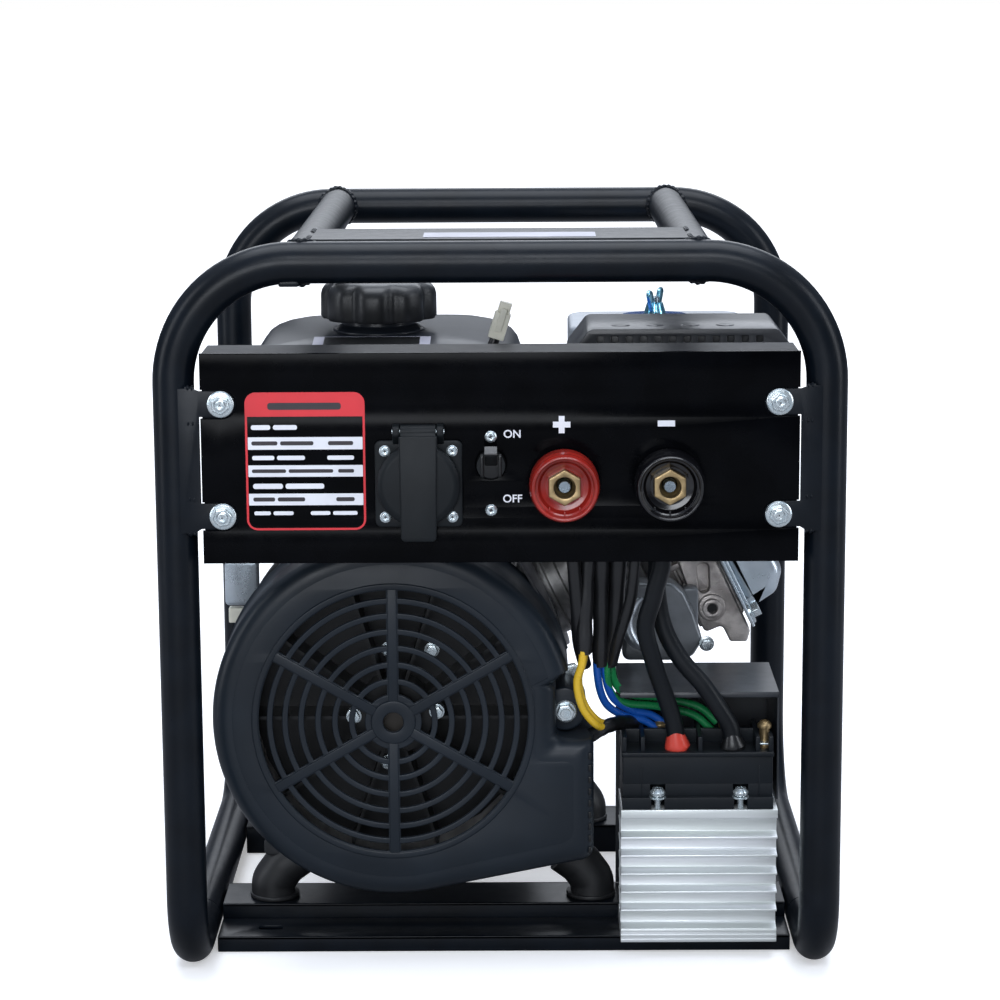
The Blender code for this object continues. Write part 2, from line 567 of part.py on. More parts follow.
def fan_cover():
    """Moulded cover; its round face is a grille of six ribs and curved slots."""
    shell = cut(prism(cover_outline(0.0), "Y", COVER_FRONT, COVER_BACK),
                prism(cover_outline(COVER_WALL), "Y", COVER_FRONT + COVER_WALL, COVER_BACK + 5))
    slots = []
    edges = [14.0, 24.0, 34.0, 44.5, 55.0, 65.0, 75.0, 83.0]
    for inner, outer in zip(edges, edges[1:]):
        for k in range(6):
            trim = math.degrees(math.asin(3.6 / (inner + 3.4)))
            slots.append(sector(inner + 3.4, outer, 60 * k + 30 + trim, 60 * k + 90 - trim,
                                COVER_FRONT - 5, COVER_FRONT + COVER_WALL + 3, 3))
    lug = (CRANK_X + 106.5, CRANK_Z + 2.5)
    pocket = rod(lug, "Y", 14.0, COVER_FRONT - 2, COVER_FRONT + 20.0, 14)
    post = rod(lug, "Y", 9.0, COVER_FRONT + 19.0, COVER_BACK - 10.0, 12)
    shape = cut(shell, together(*slots), rod(CRANK, "Y", 6.5, COVER_FRONT - 5, COVER_FRONT + 8, 16))
    shape = union(cut(shape, pocket), post)
    body("alternator_cover", shape, "black_plastic")


def alternator():
    """Fan, rotor and crankshaft share one axis inside the cover, the stator and the housing."""
    shaft_r = 12.0
    hub = pipe(CRANK, "Y", 24.0, shaft_r + GAP, -156.0, -129.0, 16)
    disc = pipe(CRANK, "Y", 88.0, shaft_r + GAP, -131.5, -129.0, 24)
    blades = []
    for k in range(10):
        blade = box((CRANK_X + 22.0, -157.0, CRANK_Z - 1.0), (CRANK_X + 86.0, -131.0, CRANK_Z + 1.0))
        blades.append(moved(blade, turn=2 * math.pi * k / 10, pivot=(CRANK_X, 0, CRANK_Z)))
    pivot = (CRANK_X, -130.0, CRANK_Z)
    body("alternator_fan", union(union(disc, hub), together(*blades)), "black_plastic", pivot)

    rotor = turned([(0, -160.0), (shaft_r, -160.0), (shaft_r, -100.0), (52.0, -100.0), (52.0, -42.0),
                    (shaft_r, -42.0), (shaft_r, -20.6), (0, -20.6)], CRANK, "Y", 20)
    body("rotor", rotor, "core_steel", pivot)
    body("stator", pipe(CRANK, "Y", 96.0, 54.0, -98.0, -44.0, 24), "core_steel")
    bracket = cut(pipe(CRANK, "Y", 104.5, shaft_r + 0.6, -112.0, -104.5, 24),
                  together(*[sector(45.0, 88.0, 60 * k + 8, 60 * k + 52, -115, -100, 2) for k in range(6)]))
    body("alternator_bracket", bracket, "cast_aluminium")
    housing = turned([(110.0, -103.6), (110.0, -22.0), (shaft_r + 0.6, -22.0), (shaft_r + 0.6, -28.0),
                      (106.0, -28.0), (106.0, -103.6)], CRANK, "Y", 32, True)
    foot = box((CRANK_X - 88.0, -98.0, 50.0), (CRANK_X + 122.0, -66.0, 60.0))
    foot = cut(foot, rod(CRANK, "Y", 108.0, -105, -50, 32))
    body("alternator_housing", union(housing, foot), "black_plastic")


# ---- engine --------------------------------------------------------------------------------------
def slanted(s0, s1, t0, t1, y0, y1):
    """Block set square to the leaning cylinder."""
    outline = [leant(s, t) for s, t in ((s0, t0), (s1, t0), (s1, t1), (s0, t1))]
    return prism(outline, "Y", y0, y1)


def leaning(profile, y, sides=20, ring=False):
    """Profile turned about the cylinder's own axis."""
    shape = turned(profile, (y, 0.0), "X", sides, ring)
    return moved(shape, turn=LEAN, by=(CRANK_X, 0.0, CRANK_Z))


def crankcase():
    """Cast case with a chamber for the crank, closed on the alternator side by a cover plate."""
    cx, cz = CRANK
    upper, lower = leant(76.0, 62.0), leant(76.0, -60.0)
    outline = [(cx - 76.0, cz - 60.0), (cx - 60.0, cz - 88.0), (cx + 92.0, cz - 88.0), (cx + 100.0, cz - 60.0),
               lower, upper, (cx - 20.0, cz + 84.0), (cx - 60.0, cz + 70.0), (cx - 76.0, cz + 40.0)]
    case = prism(outline, "Y", 0.0, 72.0)
    chamber = rod(CRANK, "Y", 50.0, -5.0, 58.0, 24)
    bore = rod(CRANK, "Y", 12.9, 50.0, 80.0, 16)
    window = leaning([(0, 30.0), (30.5, 30.0), (30.5, 90.0), (0, 90.0)], CYL_Y)
    feet = []
    for a, b in ((-88.0, -46.0), (80.0, 124.0)):
        feet += [box((cx + a, 62.0, 50.0), (cx + b, 98.0, 61.0)), box((cx + a, 40.0, 50.2), (cx + b, 71.0, 74.0))]
    filler = moved(rod((0.0, 0.0), "Z", 12.0, 0.0, 34.0), turn=math.radians(40), axis="Y",
                   by=(cx - 66.0, 40.0, cz - 62.0))
    shape = union(cut(case, chamber, bore, window), filler, *feet)
    body("crankcase", shape, "cast_aluminium")
    cover = [(cx + (a - cx) * 0.97, cz + (b - cz) * 0.97) for a, b in outline[:4] + outline[6:]]
    plate = cut(prism(cover, "Y", -21.2, -GAP), rod(CRANK, "Y", 12.9, -30.0, 5.0, 16))
    body("crankcase_cover", plate, "cast_aluminium")

    centre = (cx - 66.0, cz - 62.0)
    cap = turned([(0, 34.0 + GAP), (12.0, 34.0 + GAP), (13.5, 36.0), (13.5, 46.0), (11.0, 49.0), (0, 49.0)],
                 (0.0, 0.0), "Z", 12)
    cap = moved(cap, turn=math.radians(40), axis="Y", by=(centre[0], 40.0, centre[1]))
    body("oil_filler_cap", cap, "grey_plastic", (centre[0], 40.0, centre[1]))


def running_gear():
    """Crankshaft and flywheel turn together; the piston sits at the top of the bore."""
    pin = leant(27.0, 0.0)
    shaft = union(rod(CRANK, "Y", 12.0, -20.2, 15.0), rod(CRANK, "Y", 42.0, 7.0, 17.0, 20),
                  rod(pin, "Y", 11.0, 16.0, 36.0), rod(CRANK, "Y", 42.0, 35.0, 45.0, 20),
                  rod(CRANK, "Y", 12.0, 44.0, 127.0))
    pivot = (CRANK_X, 0.0, CRANK_Z)
    body("crankshaft", shaft, "steel", pivot)
    wheel = turned([(12.4, 84.0), (92.0, 84.0), (92.0, 100.0), (70.0, 104.0), (30.0, 104.0), (30.0, 112.0),
                    (12.4, 112.0)], CRANK, "Y", 24, True)
    vanes = []
    for k in range(8):
        vane = box((CRANK_X + 60.0, 100.0, CRANK_Z - 1.5), (CRANK_X + 91.0, 116.0, CRANK_Z + 1.5))
        vanes.append(moved(vane, turn=2 * math.pi * k / 8, pivot=(CRANK_X, 0, CRANK_Z)))
    body("flywheel", union(wheel, together(*vanes)), "cast_aluminium", pivot)
    crown = leaning([(0, 162.0), (29.0, 162.0), (29.0, 118.0), (25.0, 118.0), (25.0, 156.0), (0, 156.0)], CYL_Y)
    body("piston", crown, "aluminium")


def cylinder_and_head():
    """Finned barrel, head and pressed valve cover, all square to the leaning axis."""
    profile = [(36.0, 77.0)]
    for k in range(5):
        at = 90.0 + k * 17.0
        profile += [(38.0, at), (46.0, at), (46.0, at + 4.0), (38.0, at + 4.0)]
    profile += [(40.0, 178.0), (29.8, 178.0), (29.8, 77.0)]
    body("cylinder", leaning(profile, CYL_Y, 16, True), "cast_aluminium")
    head = union(slanted(178.3, 221.0, -70.0, 44.0, -18.0, 66.0),
                 prism(arc(leant(203.0, -54.0), 15.0, 0, 345, 15), "Y", -26.0, -17.0))
    bolt_hole = rod(leant(203.0, -54.0), "Y", 5.0, -30.0, -16.0, 14)
    shroud = union(prism(rounded(78.0, 168.0, 132.0, 226.0, 14.0), "Y", -46.0, -24.0),
                   box((119.0, -30.0, 178.0), (130.0, -12.0, 212.0)))
    body("cylinder_head", union(cut(head, bolt_hole), shroud), "cast_aluminium")
    rim = slanted(221.3, 225.0, -80.0, 50.0, -24.0, 66.0)
    dome = [leant(s, t) for s, t in ((224.0, -70.0), (248.0, -66.0), (256.0, -56.0), (256.0, 26.0),
                                             (248.0, 36.0), (224.0, 40.0))]
    inside = [leant(s, t) for s, t in ((215.0, -66.0), (246.0, -62.0), (253.0, -54.0), (253.0, 24.0),
                                               (246.0, 32.0), (215.0, 36.0))]
    cover = cut(union(rim, prism(dome, "Y", -16.0, 62.0)), prism(inside, "Y", -13.0, 59.0))
    body("valve_cover", cover, "zinc")


def exhaust_and_air():
    """Muffler behind a slotted guard in front, carburettor and air cleaner behind."""
    muffler = union(prism(rounded(-88.0, 300.0, -36.0, 372.0, 14.0), "X", 62.0, 168.0),
                    rod((92.0, -10.0), "Z", 12.0, 293.0, 326.0),
                    box((82.0, -40.0, 312.0), (102.0, -8.0, 330.0)))
    body("muffler", muffler, "steel")
    guard = cut(prism(rounded(-102.0, 290.0, -24.0, 394.0, 9.0), "X", 43.0, 187.0),
                prism(rounded(-100.8, 291.2, -2.8, 389.8, 8.0), "X", 44.2, 185.8))
    guard = cut(guard, box((78.0, -30.0, 280.0), (106.0, -20.0, 335.0)),
                box((44.2, -90.0, 280.0), (185.8, -20.0, 300.0)))
    body("muffler_guard", guard, "black_plastic")
    carburettor = union(box((88.0, 76.0, 268.0), (124.0, 110.0, 300.0)),
                        rod((AIR_X, 93.0), "Z", 14.0, 244.0, 270.0),
                        rod((AIR_X, 93.0), "Z", 16.0, 298.0, 315.6))
    body("carburettor", carburettor, "cast_aluminium")
    outline = rounded(46.0, 44.0, 168.0, 138.0, 16.0)
    stem = rod((AIR_X, AIR_Y), "Z", 3.0, 330.0, 397.0, 12)
    case = union(cut(prism(outline, "Z", 316.0, 350.0),
                     prism(rounded(50.0, 48.0, 164.0, 134.0, 12.0), "Z", 320.0, 355.0)),
                 rod((AIR_X, AIR_Y), "Z", 6.0, 318.0, 336.0, 12), stem)
    body("air_cleaner_case", case, "black_plastic")
    lid = cut(union(prism(outline, "Z", 350.0 + GAP, 376.0), rod((AIR_X, AIR_Y), "Z", 26.0, 375.0, 379.0, 20)),
              prism(rounded(50.0, 48.0, 164.0, 134.0, 12.0), "Z", 345.0, 372.0),
              rod((AIR_X, AIR_Y), "Z", 3.5, 360.0, 390.0, 12))
    body("air_cleaner_cover", lid, "grey_plastic")
    nut = turned([(3.4, 379.3), (8.0, 379.3), (6.5, 388.0), (3.4, 388.0)], (AIR_X, AIR_Y), "Z", 12, True)
    wings = []
    for side in (-1, 1):
        outline = [(5.0, 381.0), (9.0, 381.0), (14.0, 389.0), (14.5, 396.0), (11.5, 397.5), (8.0, 390.0),
                   (5.0, 387.0)]
        wings.append(prism([(AIR_X + side * a, b) for a, b in outline], "Y", AIR_Y - 1.2, AIR_Y + 1.2))
    body("wing_nut", union(nut, *wings), "zinc", (AIR_X, AIR_Y, 380.0))


def fuel_tank():
    """Pressed tank with a filler neck; the lobed cap closes over it."""
    x0, x1, y = TANK_X0, TANK_X1, TANK_Y
    lower = prism(rounded(x0 + 4, -y + 4, x1 - 4, y - 4, 30.0), "Z", TANK_LOW, TANK_LOW + 6)
    middle = prism(rounded(x0, -y, x1, y, 34.0), "Z", TANK_LOW + 5, TANK_TOP - 20)
    upper = prism(rounded(x0 + 7, -y + 7, x1 - 7, y - 7, 32.0), "Z", TANK_TOP - 21, TANK_TOP - 7)
    crown = prism(rounded(x0 + 20, -y + 20, x1 - 20, y - 20, 26.0), "Z", TANK_TOP - 8, TANK_TOP)
    neck = rod((CAP_X, CAP_Y), "Z", 24.0, TANK_TOP - 4, TANK_TOP + 14, 20)
    inside = prism(rounded(x0 + 9, -y + 9, x1 - 9, y - 9, 30.0), "Z", TANK_LOW + 2.5, TANK_TOP - 12)
    bore = rod((CAP_X, CAP_Y), "Z", 21.5, TANK_TOP - 30, TANK_TOP + 20, 20)
    body("fuel_tank", cut(union(middle, lower, upper, crown, neck), inside, bore), "gloss_black")

    lobes, r = 8, 36.0
    outline = []
    for k in range(lobes * 4):
        turn = 2 * math.pi * k / (lobes * 4)
        reach = r + 2.2 * math.cos(lobes * turn)
        outline.append((CAP_X + reach * math.cos(turn), CAP_Y + reach * math.sin(turn)))
    low, high = TANK_TOP + 7.5, 416.5
    grip = prism(outline, "Z", low, high - 4.0)
    crown = [(CAP_X + (a - CAP_X) * 0.9, CAP_Y + (b - CAP_Y) * 0.9) for a, b in outline]
    top = prism(crown, "Z", high - 5.0, high)
    cup = rod((CAP_X, CAP_Y), "Z", 24.8, low - 5, TANK_TOP + 14.6, 20)
    body("fuel_cap", cut(union(grip, top), cup), "black_plastic", (CAP_X, CAP_Y, low))


def starter():
    """Blower housing round the flywheel, recoil cover with its rope pulley, and the pull handle."""
    housing = turned([(104.0, 73.0), (104.0, 129.0), (60.0, 129.0), (60.0, 126.0), (101.0, 126.0),
                      (101.0, 73.0)], CRANK, "Y", 32, True)
    body("blower_housing", housing, "powder_coat")
    recoil = turned([(0, 172.0), (66.0, 172.0), (78.0, 160.0), (78.0, 129.0 + GAP), (75.0, 129.0 + GAP),
                     (75.0, 159.0), (65.0, 169.0), (7.0, 169.0), (7.0, 146.0), (0, 146.0)], CRANK, "Y", 24)
    eye = (CRANK_X - 52.0, CRANK_Z + 52.0)
    guide = rod(eye, "Y", 10.0, 150.0, 172.0, 20)
    guide = union(guide, box((eye[0] - 8.0, 140.0, eye[1] - 16.0), (eye[0] + 8.0, 150.5, eye[1])))
    rope_hole = rod(eye, "Y", 4.0, 145.0, 180.0, 16)
    body("recoil_cover", cut(union(recoil, guide), rope_hole), "powder_coat")
    pulley = turned([(7.6, 148.0), (44.0, 148.0), (50.0, 146.0), (50.0, 149.0), (46.0, 153.0), (50.0, 157.0),
                     (50.0, 160.0), (7.6, 160.0)], CRANK, "Y", 24, True)
    body("recoil_pulley", pulley, "black_plastic", (CRANK_X, 150.0, CRANK_Z))
    grip = turned([(0, 172.3), (6.0, 172.3), (9.0, 176.0), (9.0, 186.0), (6.0, 190.0), (0, 190.0)],
                  eye, "Y", 14)
    bar = box((eye[0] - 34.0, 178.0, eye[1] - 8.0), (eye[0] + 34.0, 190.0, eye[1] + 8.0))
    body("starter_handle", union(grip, bar), "black_plastic", (eye[0], 172.3, eye[1]))


def small_controls():
    """Choke and fuel levers on the carburettor."""
    lever = union(rod((75.0, 96.0), "Z", 6.0, 303.0, 306.0, 16), box((55.0, 93.5, 303.2), (76.0, 98.5, 305.8)))
    body("choke_lever", lever, "steel", (75.0, 96.0, 304.0))
    lever = union(rod((108.0, 278.0), "Y", 5.0, 110.4, 114.0),
                  box((107.0, 111.0, 275.5), (132.0, 113.4, 280.5)))
    body("fuel_cock_lever", lever, "zinc", (108.0, 112.0, 278.0))


clear_scene()
MACHINE = bpy.data.objects.new("machine", None)
bpy.context.scene.collection.objects.link(MACHINE)
MACHINE.location = (0.0, BOX_SHIFT * MM, 0.0)

frame_tubes()
base_members()
rubber_mounts()
control_panel()
socket()
breaker()
terminals()
rectifier()
wiring()
fan_cover()
alternator()
crankcase()
running_gear()
cylinder_and_head()
exhaust_and_air()
fuel_tank()
starter()
small_controls()
bpy.context.view_layer.update()
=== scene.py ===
"""Engine driven welder in a tube frame: camera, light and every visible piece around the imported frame."""

import math

import bmesh
import bpy
import numpy as np
from mathutils import Matrix, Vector


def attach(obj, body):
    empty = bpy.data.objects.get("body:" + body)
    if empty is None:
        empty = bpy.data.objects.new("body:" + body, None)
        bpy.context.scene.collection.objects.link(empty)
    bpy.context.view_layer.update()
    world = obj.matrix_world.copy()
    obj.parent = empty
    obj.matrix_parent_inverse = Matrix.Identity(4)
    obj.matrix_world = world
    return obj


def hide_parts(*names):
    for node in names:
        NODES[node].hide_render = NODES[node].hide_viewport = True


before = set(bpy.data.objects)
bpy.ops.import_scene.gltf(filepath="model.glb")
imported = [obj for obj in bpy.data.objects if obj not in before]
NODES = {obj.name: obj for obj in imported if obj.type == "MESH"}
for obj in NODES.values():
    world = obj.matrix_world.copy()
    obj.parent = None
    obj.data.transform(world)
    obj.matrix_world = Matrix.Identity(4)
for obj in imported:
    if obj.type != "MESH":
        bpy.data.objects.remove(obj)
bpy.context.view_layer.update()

# ---- Camera, floor and light ----------------------------------------------------------------------
# A long lens stands about 1.9 m in front and looks slightly down. Wide soft boxes stand above, at both
# sides, in front and behind. The pale floor is bright to the camera only, so that the blacks stay deep.
EYE = (0.00941, -1.89954, 0.62951)
PITCH, YAW, ROLL = 0.1878, -0.0057, -0.0058

ahead = np.array([math.sin(YAW) * math.cos(PITCH), math.cos(YAW) * math.cos(PITCH), -math.sin(PITCH)])
level = np.array([math.cos(YAW), -math.sin(YAW), 0.0])
above = np.cross(level, ahead)
right = math.cos(ROLL) * level + math.sin(ROLL) * above
top = -math.sin(ROLL) * level + math.cos(ROLL) * above
lens = bpy.data.cameras.new("camera")
lens.lens, lens.sensor_width, lens.clip_start = 104.66, 36.0, 0.05
camera = bpy.data.objects.new("camera", lens)
turn = np.eye(4)
turn[:3, 0], turn[:3, 1], turn[:3, 2], turn[:3, 3] = right, top, -ahead, EYE
camera.matrix_world = Matrix(turn.tolist())
bpy.context.scene.collection.objects.link(camera)
bpy.context.scene.camera = camera
bpy.context.scene.view_settings.view_transform = "Standard"


class Wire:
    """A socket in a material. Operators on it add Math nodes, and make() adds any other node."""

    def __init__(self, tree, socket=None):
        self.tree, self.socket = tree, socket

    def make(self, kind, settings=None, out=0, **inputs):
        """New shader node with its settings and inputs; gives a wire from one of its outputs."""
        node = self.tree.nodes.new("ShaderNode" + kind)
        for key, value in (settings or {}).items():
            if key == "stops":
                for stop, (at, shade) in zip(node.color_ramp.elements, value):
                    stop.position, stop.color = at, (*shade, 1.0)
            else:
                setattr(node, key, value)
        for key, value in inputs.items():
            socket = node.inputs[int(key[1:])] if key[1:].isdigit() else node.inputs[key.replace("_", " ")]
            if isinstance(value, Wire):
                self.tree.links.new(value.socket, socket)
            else:
                socket.default_value = value
        return Wire(self.tree, node.outputs[out])

    def sums(self, operation, a, b=0.0):
        """Math node with two inputs."""
        return self.make("Math", {"operation": operation}, i0=a, i1=b)

    def __add__(self, other):
        return self.sums("ADD", self, other)

    def __sub__(self, other):
        return self.sums("SUBTRACT", self, other)

    def __rsub__(self, other):
        return self.sums("SUBTRACT", other, self)

    def __mul__(self, other):
        return self.sums("MULTIPLY", self, other)

    def __gt__(self, other):
        return self.sums("GREATER_THAN", self, other)

    __radd__, __rmul__ = __add__, __mul__

    def smooth(self, low, high):
        """0 below low and 1 above high, with a soft step between."""
        return self.make("MapRange", {"interpolation_type": "SMOOTHSTEP"}, Value=self, From_Min=low,
                         From_Max=high)

    def between(self, a, b):
        """Colour a where this value is 0 and colour b where it is 1."""
        a, b = [c if isinstance(c, Wire) else (*c, 1.0) for c in (a, b)]
        return self.make("Mix", {"data_type": "RGBA"}, out=2, i0=self, i6=a, i7=b)


def noise(tree, scale, detail=2.0, stretch=(1.0, 1.0, 1.0), rough=0.5):
    """Noise on object coordinates, in cells per metre; stretch scales it along X, Y and Z."""
    start = Wire(tree)
    place = start.make("TexCoord", out=3)
    if stretch != (1.0, 1.0, 1.0):
        place = start.make("Mapping", Vector=place, Scale=stretch)
    return start.make("TexNoise", Vector=place, Scale=scale, Detail=detail, Roughness=rough)


def finish(name, slot, colour, rough, metal=0.0, coat=0.0, grain=1400.0, depth=0.0001, strength=0.25,
           mottle=0.16, patch=38.0, drift=0.1, dust=0.0, stretch=(1.0, 1.0, 1.0), tint=None, specular=0.5):
    """Surface with patchy colour, uneven gloss, a fine grain and dust on what faces up."""
    mat = bpy.data.materials.new(name)
    mat.use_nodes = True
    tree = mat.node_tree
    shader = tree.nodes["Principled BSDF"]
    patches = noise(tree, patch, 4.0, stretch)
    fine = noise(tree, grain, 3.0, stretch)
    low = tuple(c * (1 - mottle) for c in colour)
    high = tuple(min(1.0, c * (1 + mottle)) for c in (tint or colour))
    shade = patches.smooth(0.3, 0.7).between(low, high)
    gloss = rough + (noise(tree, patch * 3.1, 3.0, stretch) - 0.5) * drift + (fine - 0.5) * (drift * 0.6)
    if dust:
        facing = Wire(tree).make("SeparateXYZ", out=2, Vector=Wire(tree).make("NewGeometry", out=1))
        cover = facing.smooth(0.35, 1.0) * noise(tree, 60.0, 5.0).smooth(0.25, 0.75) * dust
        shade = cover.between(shade, (0.32, 0.32, 0.33))
        gloss = gloss + cover * 0.25
    bump = Wire(tree).make("Bump", Height=fine, Strength=strength, Distance=depth)
    for socket, wire in (("Base Color", shade), ("Roughness", gloss), ("Normal", bump)):
        tree.links.new(wire.socket, shader.inputs[socket])
    shader.inputs["Metallic"].default_value = metal
    shader.inputs["Coat Weight"].default_value = coat
    shader.inputs["Coat Roughness"].default_value = 0.08
    shader.inputs["Specular IOR Level"].default_value = specular
    mat.diffuse_color = (*colour, 1.0)
    mat["slot"] = slot
    return mat


def disc_floor(radius, rings=24, spokes=96):
    """Flat disc: point (r, a) lies at (r cos a, r sin a, 0), rings growing towards the rim."""
    r = radius * np.linspace(0.0, 1.0, rings + 1)[1:] ** 2
    a = np.linspace(0, 2 * np.pi, spokes, endpoint=False)
    grid = np.stack([r[:, None] * np.cos(a), r[:, None] * np.sin(a), np.zeros((rings, spokes))], -1)
    points = np.vstack([grid.reshape(-1, 3), [[0.0, 0.0, 0.0]]])
    i, j = np.arange(rings - 1)[:, None] * spokes, np.arange(spokes)[None, :]
    k = (j + 1) % spokes
    quads = np.stack([i + j, i + spokes + j, i + spokes + k, i + k], -1).reshape(-1, 4)
    fan = np.stack([np.full(spokes, rings * spokes), j[0], k[0]], -1)
    mesh = bpy.data.meshes.new("floor")
    mesh.from_pydata(points.tolist(), [], quads.tolist() + fan.tolist())
    return mesh


pale = bpy.data.materials.new("pale_floor")
pale.use_nodes = True
direct = Wire(pale.node_tree).make("LightPath", out=0)
shade = direct.between((0.3, 0.3, 0.31), noise(pale.node_tree, 2.0, 3.0).between((0.86, 0.865, 0.87),
        (0.9, 0.9, 0.9)))
pale.node_tree.links.new(shade.socket, pale.node_tree.nodes["Principled BSDF"].inputs["Base Color"])
away = Wire(pale.node_tree).make("VectorMath", {"operation": "LENGTH"}, out=1,
                                 Vector=Wire(pale.node_tree).make("TexCoord", out=3))
fade = direct.between((0.02, 0.02, 0.022), away.smooth(0.5, 3.5).between((0.36, 0.36, 0.365),
        (0.97, 0.97, 0.97)))
pale.node_tree.links.new(fade.socket, pale.node_tree.nodes["Principled BSDF"].inputs["Emission Color"])
pale.node_tree.nodes["Principled BSDF"].inputs["Emission Strength"].default_value = 1.0
pale.node_tree.nodes["Principled BSDF"].inputs["Roughness"].default_value = 0.9
floor = bpy.data.objects.new("floor", disc_floor(30.0))
floor.data.materials.append(pale)
bpy.context.scene.collection.objects.link(floor)
floor.location.z = -0.0004

world = bpy.data.worlds.new("studio")
bpy.context.scene.world = world
world.use_nodes = True
sky = Wire(world.node_tree)
height = sky.make("SeparateXYZ", out=2, Vector=sky.make("TexCoord", out=0))
seen = sky.make("LightPath", out=0)
glow = height.smooth(0.0, 0.9).between((0.035, 0.04, 0.052), (0.46, 0.52, 0.64))
world.node_tree.links.new(seen.between(glow, (1.0, 1.0, 1.0)).socket,
                          world.node_tree.nodes["Background"].inputs["Color"])

SOFT_BOXES = (("over", (0.0, 0.1, 2.3), (0.0, 0.0, 0.2), (2.2, 1.6), 46.0),
              ("left", (-2.1, -0.7, 0.9), (0.0, 0.0, 0.25), (0.5, 1.8), 13.0),
              ("right", (2.1, -0.7, 0.9), (0.0, 0.0, 0.25), (0.5, 1.8), 15.0),
              ("front", (0.3, -2.6, 2.1), (0.0, 0.0, 0.2), (1.6, 0.7), 32.0),
              ("fill", (-0.5, -3.0, 0.85), (0.0, 0.0, 0.25), (1.6, 0.9), 34.0),
              ("behind", (0.0, 2.6, 1.5), (0.0, 0.0, 0.3), (2.4, 1.2), 22.0))
for name, where, aim, size, watts in SOFT_BOXES:
    lamp = bpy.data.lights.new(name, "AREA")
    lamp.shape, lamp.size, lamp.size_y, lamp.energy = "RECTANGLE", size[0], size[1], watts
    lamp.color = (0.9, 0.94, 1.0)
    holder = bpy.data.objects.new(name, lamp)
    holder.location = where
    holder.rotation_euler = (Vector(where) - Vector(aim)).to_track_quat("Z", "Y").to_euler()
    bpy.context.scene.collection.objects.link(holder)

# ---- Frame ----------------------------------------------------------------------------------------
# Two hoops bent from 25 mm steel tube run into each other along the floor; two rails are welded
# between them across the top. Everything is powder coated satin black after welding.
MM = 0.001
DEPTH_SHIFT = 13.5       # the hoops' middle lies this far behind the middle of the whole depth
TUBE_R, LEG_X, HOOP_Y, TOP_Z = 12.5, 195.5, 192.5, 446.5
RAIL_X, FLOOR_JOINT = 118.0, -110.0
PANEL_LOW, PANEL_HIGH, PANEL_X, PANEL_FRONT = 266.8, 394.0, 178.5, -205.5
EAR_X, EAR_HALF, BOLT_X, BOLT_ZS = 165.6, 8.6, 166.3, (295.6, 363.6)


def grid_faces(rows, cols, loop_rows=False, loop_cols=True):
    """Quads between the neighbours of a grid of points; a looped direction runs back to its start."""
    i = np.arange(rows if loop_rows else rows - 1)[:, None]
    j = np.arange(cols if loop_cols else cols - 1)[None, :]
    i2, j2 = (i + 1) % rows, (j + 1) % cols
    return np.stack([i * cols + j, i * cols + j2, i2 * cols + j2, i2 * cols + j], -1).reshape(-1, 4).tolist()


def skin(grid, loop_rows=False, caps=True):
    """Closed skin over rings of points (rows, ring, 3); flat caps close the first and last ring."""
    rows, cols = grid.shape[:2]
    faces = grid_faces(rows, cols, loop_rows)
    if caps and not loop_rows:
        faces += [list(range(cols))[::-1], list(range((rows - 1) * cols, rows * cols))]
    return grid.reshape(-1, 3), faces


def joined(*shapes):
    """Several shapes in one."""
    starts = np.cumsum([0] + [len(p) for p, _ in shapes])
    faces = [[v + int(start) for v in face] for start, (_, rows) in zip(starts, shapes) for face in rows]
    return np.vstack([p for p, _ in shapes]), faces


def put(name, shape, coat, body="frame", stands_for=(), crease=32.0):
    """Piece from a shape in millimetres, measured from the middle between the hoops."""
    points = (np.asarray(shape[0], float) + (0.0, DEPTH_SHIFT, 0.0)) * MM
    mesh = bpy.data.meshes.new(name)
    mesh.from_pydata(points.tolist(), [], shape[1])
    bm = bmesh.new()
    bm.from_mesh(mesh)
    bmesh.ops.remove_doubles(bm, verts=bm.verts, dist=0.000002)
    bmesh.ops.recalc_face_normals(bm, faces=bm.faces)
    bm.to_mesh(mesh)
    bm.free()
    mesh.shade_smooth()
    mesh.set_sharp_from_angle(angle=math.radians(crease))
    mesh.materials.append(coat)
    obj = bpy.data.objects.new(name, mesh)
    bpy.context.scene.collection.objects.link(obj)
    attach(obj, body)
    if stands_for:
        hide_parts(*stands_for)
    return obj


def paint(coat, *names):
    """Gives frame pieces whose shape stays as it is a better surface."""
    for name in names:
        NODES[name].data.materials.clear()
        NODES[name].data.materials.append(coat)


def arc(centre, radius, start, end, steps):
    """Points at (cx + r cos a, cy + r sin a) while a runs from start to end degrees."""
    a = np.radians(np.linspace(start, end, steps + 1))
    return np.stack([centre[0] + radius * np.cos(a), centre[1] + radius * np.sin(a)], -1)


def rounded(x0, y0, x1, y1, radius, steps=6):
    """Rectangle with round corners, as four quarter circles."""
    r = min(radius, (x1 - x0) / 2 - 0.001, (y1 - y0) / 2 - 0.001)
    return np.vstack([arc((x1 - r, y0 + r), r, -90, 0, steps), arc((x1 - r, y1 - r), r, 0, 90, steps),
                      arc((x0 + r, y1 - r), r, 90, 180, steps), arc((x0 + r, y0 + r), r, 180, 270, steps)])


